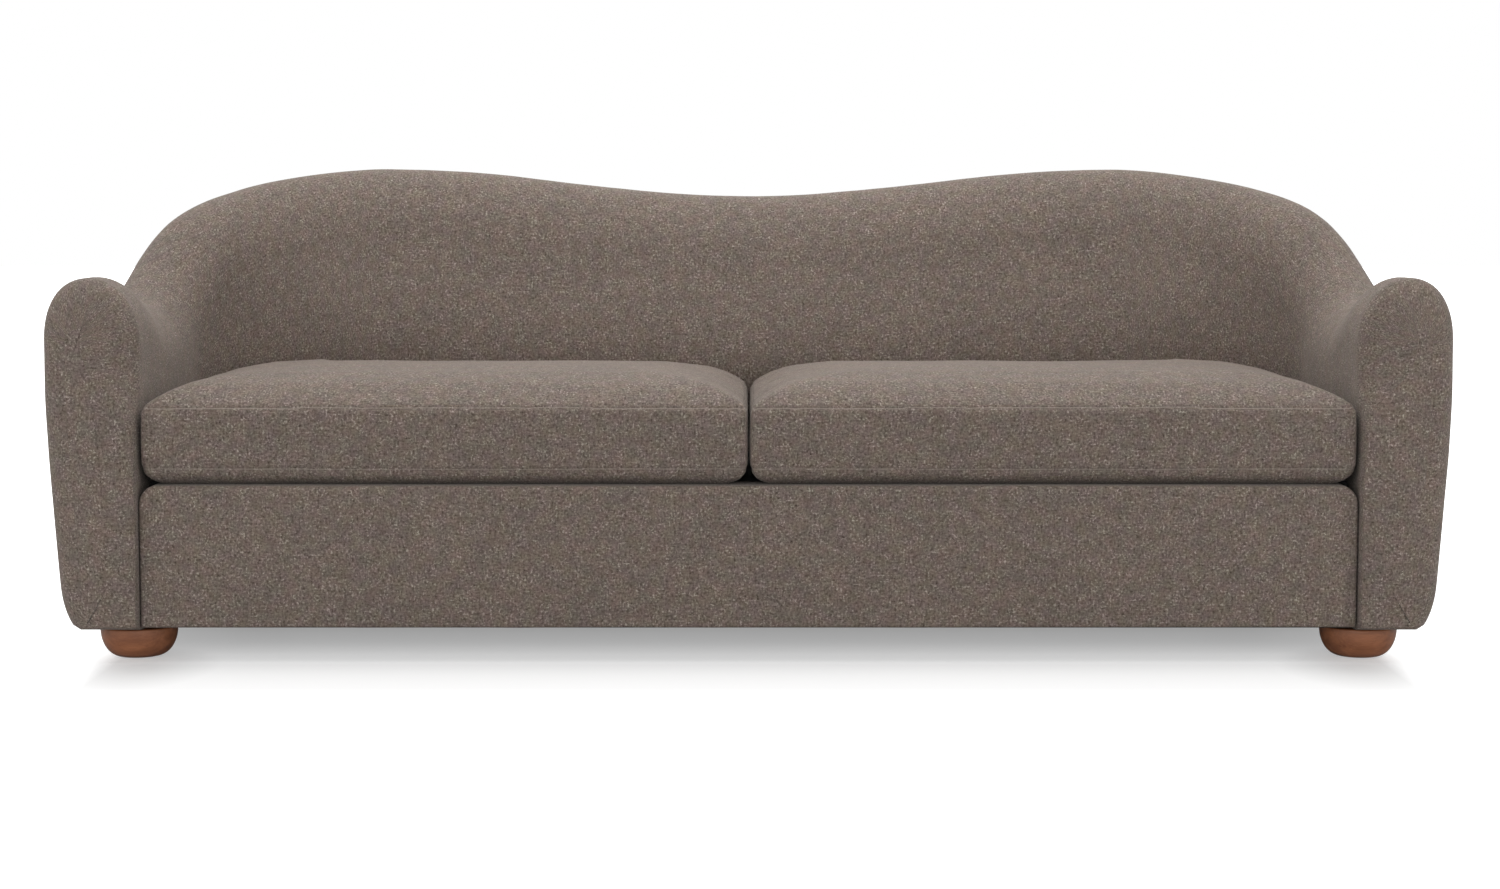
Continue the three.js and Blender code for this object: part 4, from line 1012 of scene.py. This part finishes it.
wall = cloth_piece(
    "upholstered_wall", points, faces, wall_cloth, tweed, "inside_back_pad", "left_inside_arm_pad",
    "right_inside_arm_pad", "left_arm_front_pad", "right_arm_front_pad", fill=0.8,
)
soft_from, soft_fade = 0.27, 0.08
soften(wall, lambda co: clamp((co.z - soft_from) / soft_fade))

# Outside panels: the same tweed over thin wadding, one on each arm and one on the back,
# blind-stitched under the roll of the top and stapled under the bottom rail.

panel_thickness = 0.012
panel_gap, panel_overhang = 0.0009, 0.0002
panel_step, panel_rows = 0.014, 34
# Along its seams the cloth turns in.
edge_turn, turn_width = 0.0045, 0.006
panel_cloth, panel_softness = 3, 0.5


def outside_panel(name, start, end, node):
    count, rows = max(20, round((end - start) / panel_step)), panel_rows
    points, faces, cloth = [], [], []
    for inset in (0.0, panel_thickness):
        for i in range(count + 1):
            run = mix(start, end, i / count)
            place = Place(run)
            foot, top = floor_gap + panel_overhang, place.seam - panel_gap
            from_end = min(run - start, end - run)
            for j in range(rows + 1):
                z = mix(foot, top, (j / rows) ** crowding)
                to_edge = min(from_end, top - z)
                tuck = 0 if inset else edge_turn * (1 - clamp(to_edge / turn_width)) ** 2
                out, z = place.outside(z, inset + tuck)
                points.append(place.at(out, z))
                cloth.append((run, z + panel_cloth))
    face_of = (rows + 1) * (count + 1)
    for i in range(count):
        for j in range(rows):
            a = i * (rows + 1) + j
            b = a + rows + 1
            faces.append((a, b, b + 1, a + 1))
            faces.append((a + face_of, a + 1 + face_of, b + 1 + face_of, b + face_of))
        for j in (0, rows):
            a, b = i * (rows + 1) + j, (i + 1) * (rows + 1) + j
            faces.append((a, b, b + face_of, a + face_of))
    for i in (0, count):
        for j in range(rows):
            a = i * (rows + 1) + j
            faces.append((a, a + 1, a + 1 + face_of, a + face_of))
    panel = cloth_piece(name, points, faces, lambda f, v: cloth[v], tweed, node, fill=0.5)
    soften(panel, lambda co: panel_softness)


panel_split = 0.0004
back_start, back_end = arm_length, whole_run - arm_length
outside_panel("left_arm_outside", panel_split, back_start, "left_outside_arm_panel")
outside_panel(
    "back_outside", back_start + panel_split, back_end - panel_split, "outside_back_panel"
)
outside_panel("right_arm_outside", back_end, whole_run - panel_split, "right_outside_arm_panel")

# Front band: a padded board between the arms, covered in the same tweed, which turns
# over the top of the front rail as the nose of the deck.

band_clearance = 0.001
band_half = crest_x - arm_inner - band_clearance
board_gap = 0.0004
band_front, band_back = -0.468, arm_frame_y - board_gap
band_foot = floor_gap + 0.006
band_round, band_foot_round = 0.009, 0.006
band_corner_run, band_corner_drop = 0.028, 0.032
band_end_round = 0.005
band_bulge, bulge_fade = 0.0025, 0.05
band_back_foot = floor_gap + 0.0015
nose_back, nose_foot = arm_frame_y + 0.050 - board_gap, deck_top - 0.041
# The nose thins out where the top corner rounds over, down to these sizes.
nose_run, nose_step, nose_drop, back_drop = 0.0002, 0.0002, 0.004, 0.006
band_cloth = 9


def quarter_turns(count):
    return [math.pi / 2 * k / count for k in range(count + 1)]


def band_section(x):
    """The band's outline at one place along it, from its lower back edge forward."""
    from_end = band_half - abs(x)
    corner = clamp(1 - from_end / band_corner_run)
    top = deck_top - band_corner_drop * (1 - math.sqrt(1 - corner * corner))
    rounded = 1 - clamp(from_end / band_end_round)
    front = band_front + band_end_round * (1 - math.sqrt(1 - rounded * rounded))
    bulge = band_bulge * clamp(from_end / bulge_fade)
    nose = mix(band_back + nose_run, nose_back, 1 - corner) if corner < 1 else band_back
    line = [(band_back, band_back_foot)]
    for turn in quarter_turns(5):
        back, up = 1 - math.sin(turn), 1 - math.cos(turn)
        line.append((front + band_foot_round * back, band_foot + band_foot_round * up))
    for share in np.linspace(0, 1, 25)[1:-1]:
        z = mix(band_foot + band_foot_round, top - band_round, share)
        line.append((front - bulge * math.sin(math.pi * share), z))
    for turn in quarter_turns(8):
        back, down = 1 - math.cos(turn), 1 - math.sin(turn)
        line.append((front + band_round * back, top - band_round * down))
    line += [(mix(front + band_round, nose, k / 5), top) for k in range(1, 6)]
    line.append((nose, min(top - nose_drop, nose_foot)))
    line.append((band_back, min(top - back_drop, nose_foot - nose_step)))
    return line


# Sections stand closer together towards each end, where the top corner rounds over.
end_places = (
    0.0, 0.0003, 0.0008, 0.0016, 0.0028, 0.0042, 0.006, 0.009, 0.013, 0.018, 0.023, 0.028, 0.034, 0.042
)
band_places = [end - band_half for end in end_places]
band_places += np.linspace(bulge_fade - band_half, band_half - bulge_fade, 130).tolist()
band_places += [band_half - end for end in reversed(end_places)]
points, cloth = [], []
for x in band_places:
    section = band_section(x)
    length = 0.0
    for k, (y, z) in enumerate(section):
        if k:
            length += math.hypot(y - section[k - 1][0], z - section[k - 1][1])
        points.append((x, y, z))
        cloth.append((x + band_cloth, length))
faces = ring_faces(len(band_places), len(section))
band = cloth_piece(
    "padded_front_band", points, faces, lambda f, v: cloth[v], tweed, "front_band", fill=0.7
)
soft_to_y = -0.45
soften(band, lambda co: 1.0 if co.y < soft_to_y else 0.0, 0.0012, 0.0003)

# Seat cushions: boxed covers of tweed over a foam core wrapped in wadding. The side
# strip is sewn to the top and the underside with a plain seam, and zips up behind.

cushion_clearance = 0.003
cushion_inner, cushion_outer = 0.0003, crest_x - arm_inner - cushion_clearance
cushion_front, cushion_back = -0.466, 0.175
cushion_corner, smallest_corner = 0.014, 0.008
rear_run, rear_depth = cushion_outer - corner_x, cushion_back - corner_y
lower_seam, upper_seam = 0.324, 0.430
crown_rise, crown_run, under_run = 0.055, 0.240, 0.040
cushion_rest = deck_top + 0.0004
seam_pinch = 0.0015
# How far each side pulls in between its corners: front, outer, back and inner side.
side_sags = (0.003, 0.003, 0.004, 0.0)
side_steps, rear_steps, strip_steps = 24, 26, 8
# How the cover rises above the upper seam and falls below the lower one, by the way inward.
crown_curve = ((0, 0), (0.05, 0.17), (0.15, 0.37), (0.3, 0.62), (0.6, 0.88), (1, 1))
under_curve = ((0, 0), (0.16, 0.5), (0.45, 0.86), (1, 1))
crown_shares = (0.03, 0.06, 0.1, 0.16, 0.23, 0.31, 0.4, 0.5, 0.62, 0.75, 0.88, 1)
under_shares = (1, 0.75, 0.5, 0.3, 0.15, 0.06)


def cushion_outline(inset, corner_steps=6):
    """The right-hand cushion's outline in plan, inset all round."""
    low = (cushion_inner + inset, cushion_front + inset)
    high = (cushion_outer - inset, cushion_back - inset)
    small = max(smallest_corner, cushion_corner - inset)
    corners = (
        (low, (1, 1), (small, small), 2, corner_steps),
        ((high[0], low[1]), (-1, 1), (small, small), 3, corner_steps),
        (high, (-1, -1), (rear_run - inset, rear_depth - inset), 0, rear_steps),
        ((low[0], high[1]), (1, -1), (small, small), 1, corner_steps),
    )
    arcs = []
    for (x, y), (turn_x, turn_y), (across, deep), start, steps in corners:
        centre = (x + turn_x * across, y + turn_y * deep)
        turns = [(start + i / steps) * math.pi / 2 for i in range(steps + 1)]
        arcs.append([
            (centre[0] + across * math.cos(turn), centre[1] + deep * math.sin(turn)) for turn in turns
        ])
    outline = []
    for number, arc in enumerate(arcs):
        outline += arc
        start, end = Vector(arc[-1]), Vector(arcs[(number + 1) % 4][0])
        along = end - start
        inward = Vector((-along.y, along.x)).normalized()
        for i in range(1, side_steps):
            sag = math.sin(math.pi * i / side_steps)
            point = start + along * i / side_steps + inward * side_sags[number] * sag
            outline.append(tuple(point))
    return outline


def cushion_form(name, side, slack, wall=0.0):
    """A cushion's closed form, smaller by slack, which filling takes up, and by a wall."""
    rows = []
    for share in under_shares:
        drop = (lower_seam - cushion_rest - wall) * np.interp(share, *zip(*under_curve))
        rows.append((seam_pinch + under_run * share, lower_seam - drop))
    for share in np.linspace(0, 1, strip_steps + 1):
        bulge = seam_pinch * math.sin(math.pi * share)
        rows.append((seam_pinch - bulge, mix(lower_seam, upper_seam, share)))
    for share in crown_shares:
        rise = (crown_rise - slack - wall) * np.interp(share, *zip(*crown_curve))
        rows.append((seam_pinch + crown_run * share, upper_seam + rise))
    points = []
    for inset, z in rows:
        points += [(side * x, y, z) for x, y in cushion_outline(inset + slack + wall)]
    mesh = bpy.data.meshes.new(name)
    mesh.from_pydata(points, [], ring_faces(len(rows), len(points) // len(rows)))
    face_outward(mesh)
    return new_piece(name, mesh)


def coordinates(mesh):
    flat = np.empty(len(mesh.vertices) * 3)
    mesh.vertices.foreach_get("co", flat)
    return flat.reshape(-1, 3)


def set_coordinates(mesh, places):
    mesh.vertices.foreach_set("co", np.asarray(places, dtype=np.float32).ravel())
    mesh.update()


filling_steps = 20


def fill_out(piece, most):
    """Blows the cover up from inside as cloth, and keeps each point within most of its start."""
    start = coordinates(piece.data)
    modifier = piece.modifiers.new("filling", "CLOTH")
    cloth = modifier.settings
    cloth.quality = 5
    cloth.mass = 0.3
    cloth.use_pressure = True
    cloth.uniform_pressure_force = 4
    cloth.effector_weights.gravity = 0
    cloth.tension_stiffness = cloth.compression_stiffness = 15
    cloth.bending_stiffness = 0.5
    for step in range(1, filling_steps + 1):
        scene.frame_set(step)
    filled = piece.evaluated_get(bpy.context.evaluated_depsgraph_get())
    moved = coordinates(filled.data) - start
    piece.modifiers.remove(modifier)
    scene.frame_set(1)
    length = np.linalg.norm(moved, axis=1, keepdims=True)
    set_coordinates(piece.data, start + moved * np.minimum(1, most / np.maximum(length, 1e-9)))


def add_attribute(mesh, name, values):
    layer = mesh.attributes.new(name, "FLOAT", "POINT")
    layer.data.foreach_set("value", np.asarray(values, dtype=np.float32))


def read_attribute(mesh, name):
    values = np.empty(len(mesh.vertices))
    mesh.attributes[name].data.foreach_get("value", values)
    return values


def nearest_on(line, height):
    """Finds which point of a level line is nearest to a place, and how far off it is."""
    tree = KDTree(len(line))
    for number, (x, y) in enumerate(line):
        tree.insert((x, y, height), number)
    tree.balance()
    return tree


# A face steeper than this belongs to the side strip. Each part's cloth starts elsewhere.
strip_slope, strip_cloth, top_cloth, under_cloth = 0.62, 20, 3, 6


def cushion_cloth(mesh, side, around, perimeter):
    """The side strip's cloth runs round the cushion, and the rest lies as seen from above."""
    places = coordinates(mesh)
    layer = mesh.uv_layers.new(name="cloth")
    corners = np.empty(len(mesh.loops), dtype=int)
    mesh.loops.foreach_get("vertex_index", corners)
    cloth = np.empty((len(corners), 2))
    for polygon in mesh.polygons:
        loops = slice(polygon.loop_start, polygon.loop_start + polygon.loop_total)
        vertices = corners[loops]
        if abs(polygon.normal.z) < strip_slope:
            along = around[vertices]
            if along.max() - along.min() > perimeter / 2:
                along = np.where(along < perimeter / 2, along + perimeter, along)
            cloth[loops, 0] = along + strip_cloth * (side + 2)
            cloth[loops, 1] = places[vertices, 2]
        else:
            start = top_cloth if polygon.normal.z > 0 else under_cloth
            cloth[loops] = places[vertices, :2] + start
    layer.data.foreach_set("uv", cloth.astype(np.float32).ravel())


cover_slack, cover_grain, most_filling = 0.003, 0.0085, 0.007
seam_corner_steps, seam_points = 12, 1600
groove_depth, groove_width = 0.0017, 0.0045
pucker_depth, pucker_reach, puckers = 0.0011, 0.02, 26
wave_depth, waves, wave_fade = 0.0022, 6.5, 0.1
front_filled = cushion_front - 0.001
outer_bulge, front_bulge, back_bulge = 0.0005, 0.002, 0.001


def seat_cushion(side, name):
    piece = cushion_form(f"{name}_seat_cushion", side, cover_slack)
    apply_modifier(piece, "REMESH", mode="VOXEL", voxel_size=cover_grain, use_smooth_shade=True)
    start = coordinates(piece.data)
    fill_out(piece, most_filling)
    # How far each point is from each seam. One is added, so that a point without it is far off.
    seam_line = np.array(cushion_outline(seam_pinch + cover_slack, seam_corner_steps))
    seam_line[:, 0] *= side
    dense = evenly(np.vstack([seam_line, seam_line[:1]]), seam_points)[:-1]
    for attribute, height in (("upper_seam", upper_seam), ("lower_seam", lower_seam)):
        tree = nearest_on(dense, height)
        apart = np.array([tree.find(point)[2] for point in start])
        add_attribute(piece.data, attribute, 1 + apart * np.sign(start[:, 2] - height))
    add_attribute(piece.data, "rest_z", start[:, 2])
    apply_modifier(piece, "SUBSURF", levels=1, render_levels=1)
    mesh = piece.data
    places = coordinates(mesh)
    normals = np.array([vertex.normal[:] for vertex in mesh.vertices])
    # How far round the cushion each point lies.
    perimeter = float(np.linalg.norm(np.diff(np.vstack([dense, dense[:1]]), axis=0), axis=1).sum())
    tree = nearest_on(dense, 0)
    nearest = np.array([tree.find((x, y, 0))[1] for x, y, _ in places])
    heading = np.roll(dense, -1, axis=0) - np.roll(dense, 1, axis=0)
    heading /= np.linalg.norm(heading, axis=1, keepdims=True)
    past = ((places[:, :2] - dense[nearest]) * heading[nearest]).sum(axis=1)
    around = nearest * perimeter / len(dense) + past
    # The filled cover takes up the room between the arm, the back and the other cushion.
    low, high = places.min(axis=0), places.max(axis=0)
    edges = sorted((side * cushion_inner, side * cushion_outer))
    places[:, 0] = np.interp(places[:, 0], (low[0], high[0]), edges)
    places[:, 1] = np.interp(places[:, 1], (low[1], high[1]), (front_filled, cushion_back))
    top = upper_seam + crown_rise
    places[:, 2] = np.interp(places[:, 2], (cushion_rest, high[2]), (cushion_rest, top))
    # Seams sink in, and the cloth beside them puckers a little.
    for seam in ("upper_seam", "lower_seam"):
        apart = np.abs(read_attribute(mesh, seam) - 1)
        pucker = np.array([noise.noise(Vector((a * puckers, side * 3.0, 0))) for a in around])
        sink = groove_depth * np.exp(-((apart / groove_width) ** 2))
        sink += pucker_depth * pucker * np.exp(-apart / pucker_reach)
        places -= normals * sink[:, None]
    # Above the lower seam, the wadding makes the cloth a little uneven.
    wave = [noise.noise(Vector(place) * waves + Vector((side, 0, 0))) for place in places]
    waved = np.clip((read_attribute(mesh, "rest_z") - lower_seam) / wave_fade, 0, 1)
    places += normals * (np.array(wave) * wave_depth * waved)[:, None]
    places[:, 0] = side * np.clip(side * places[:, 0], cushion_inner, cushion_outer + outer_bulge)
    places[:, 1] = np.clip(places[:, 1], cushion_front - front_bulge, cushion_back + back_bulge)
    places[:, 2] = np.maximum(places[:, 2], cushion_rest)
    set_coordinates(mesh, places)
    cushion_cloth(mesh, side, around, perimeter)
    mesh.shade_smooth()
    return piece


zip_x, zip_z = 0.35925, 0.377
zip_length, zip_height = 0.5595, 0.009
zip_face, opening_depth = 0.1654, 0.04
cushion_tweed = tweed_material("cushion_tweed", seamed=True)

foam_material, value, shader = new_material("wrapped_foam")
spot = value.spot()
cells = value.node("ShaderNodeTexVoronoi", {}, {"Vector": spot, "Scale": 700})
soft = value.clouds(spot, 14, 3)
value.feed(shader, {
    "Base Color": soft.within(0.35, 0.65).mixed((0.72, 0.6, 0.34), (0.84, 0.76, 0.5)),
    "Roughness": 0.9,
    "Normal": value.bump(cells, 0.3, 0.0006),
})
core_slack, core_wadding, core_edge = 0.004, 0.0125, 0.004

for side, name in ((-1, "left"), (1, "right")):
    cushion = seat_cushion(side, name)
    cushion.data.materials.append(cushion_tweed)
    deselect()
    opening_place = (side * zip_x, zip_face + opening_depth / 2, zip_z)
    bpy.ops.mesh.primitive_cube_add(size=1, location=opening_place)
    opening = bpy.context.object
    opening.scale = (zip_length, opening_depth, zip_height)
    bpy.ops.object.transform_apply()
    apply_modifier(cushion, "BOOLEAN", operation="DIFFERENCE", object=opening, solver="EXACT")
    bpy.data.objects.remove(opening)
    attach(cushion, f"{name}_cushion")
    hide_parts(f"{name}_cushion_cover")

    core = cushion_form(f"{name}_foam_core", side, core_slack, core_wadding)
    apply_modifier(core, "BEVEL", width=core_edge, segments=2, limit_method="ANGLE")
    core.data.shade_smooth()
    core.data.materials.append(foam_material)
    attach(core, f"{name}_cushion")
    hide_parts(f"{name}_cushion_core")

# Zips: nylon teeth on cotton tape, sewn into the side strip at the back, each with a
# plated slider and a small pull tab.

tape_gap, tape_thickness = 0.0004, 0.0014
tooth_pitch, tooth_height, tooth_stagger = 0.0022, 0.0032, 0.0005
teeth_margin = 0.012
# A tooth's two ends: how far each stands off the foot of the zip, and half its width.
tooth_ends = ((0.0013, 0.00075), (0.003, 0.0005))
slider_from_end, slider_length, slider_depth, slider_margin = 0.006, 0.0115, 0.0030, 0.0006
bridge_length, bridge_depth = 0.007, 0.0022
tab_depth, tab_height, tab_hole, hole_from_end = 0.0013, 0.005, 0.0012, 0.004
pull_inset = 0.0001
tape_material = plain_cloth("zip_tape", (0.12, 0.1, 0.085), 0.0009)
slider_metal = steel_material("zip_slider", (0.42, 0.4, 0.37), 0.3)
tooth_material, value, shader = new_material("nylon_teeth")
wear = value.clouds(value.spot(), 300)
value.feed(shader, {
    "Base Color": wear.within(0.3, 0.7).mixed((0.07, 0.058, 0.05), (0.13, 0.11, 0.095)),
    "Roughness": 0.35 + wear * 0.2,
})


def joined(pieces, name):
    deselect()
    for piece in pieces:
        piece.select_set(True)
    bpy.context.view_layer.objects.active = pieces[0]
    bpy.ops.object.join()
    pieces[0].name = name
    return pieces[0]


def block(place, size, bevel, steps=2):
    """A block with rounded edges, its place in its mesh."""
    deselect()
    bpy.ops.mesh.primitive_cube_add(size=1, location=place)
    piece = bpy.context.object
    piece.scale = size
    bpy.ops.object.transform_apply()
    apply_modifier(piece, "BEVEL", width=bevel, segments=steps)
    bpy.ops.object.shade_smooth_by_angle(angle=math.radians(40))
    return piece


for side, name in ((-1, "left"), (1, "right")):
    tape_size = (zip_length - 2 * tape_gap, tape_thickness, zip_height - 2 * tape_gap)
    tape = block((side * zip_x, zip_face + tape_thickness / 2, zip_z), tape_size, 0.0003)
    layer = tape.data.uv_layers.new(name="cloth")
    for loop in tape.data.loops:
        co = tape.data.vertices[loop.vertex_index].co
        layer.data[loop.index].uv = (co.x, co.z)
    tape.data.materials.append(tape_material)
    tape.name = f"{name}_zip_tape"
    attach(tape, f"{name}_cushion")
    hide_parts(f"{name}_cushion_zip")

    points, faces = [], []
    count = int((zip_length - teeth_margin) / tooth_pitch)
    for k in range(count):
        tooth_x = side * zip_x + (k - (count - 1) / 2) * tooth_pitch
        tooth_z = zip_z + (tooth_stagger if k % 2 else -tooth_stagger)
        faces += ring_faces(2, len(square), len(points))
        for off, half_width in tooth_ends:
            for a, b in square:
                z = tooth_z + b * tooth_height / 2
                points.append((tooth_x + a * half_width, zip_face + off, z))
    teeth = cloth_piece(
        f"{name}_zip_teeth", points, faces, lambda f, v: points[v][::2], tooth_material,
        body=f"{name}_cushion", slot="zip_tape", padded=False,
    )
    teeth.data.shade_flat()

    low, high = (Vector(corner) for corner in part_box(f"{name}_zip_pull"))
    slider_x = high.x - slider_from_end if side < 0 else low.x + slider_from_end
    tab_end = low.x if side < 0 else high.x
    front, back = low.y + pull_inset, high.y - pull_inset
    slider_size = (slider_length, slider_depth, high.z - low.z - slider_margin)
    body = block((slider_x, front + slider_depth / 2, zip_z), slider_size, 0.0008, 3)
    bridge_size = (bridge_length, bridge_depth, bridge_depth)
    bridge = block((slider_x, back - bridge_depth / 2, zip_z), bridge_size, 0.0006)
    tab_size = (abs(tab_end - slider_x), tab_depth, tab_height)
    tab = block(((slider_x + tab_end) / 2, back - tab_depth / 2, zip_z), tab_size, 0.0005)
    deselect()
    bpy.ops.mesh.primitive_cylinder_add(
        vertices=20, radius=tab_hole, depth=0.01, rotation=(math.pi / 2, 0, 0),
        location=(tab_end - side * hole_from_end, high.y, zip_z),
    )
    hole = bpy.context.object
    apply_modifier(tab, "BOOLEAN", operation="DIFFERENCE", object=hole, solver="EXACT")
    bpy.data.objects.remove(hole)
    pull = joined([body, bridge, tab], f"{name}_zip_slider")
    pull.data.materials.clear()
    pull.data.materials.append(slider_metal)
    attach(pull, f"{name}_zip")
    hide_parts(f"{name}_zip_pull")

scene.frame_set(1)
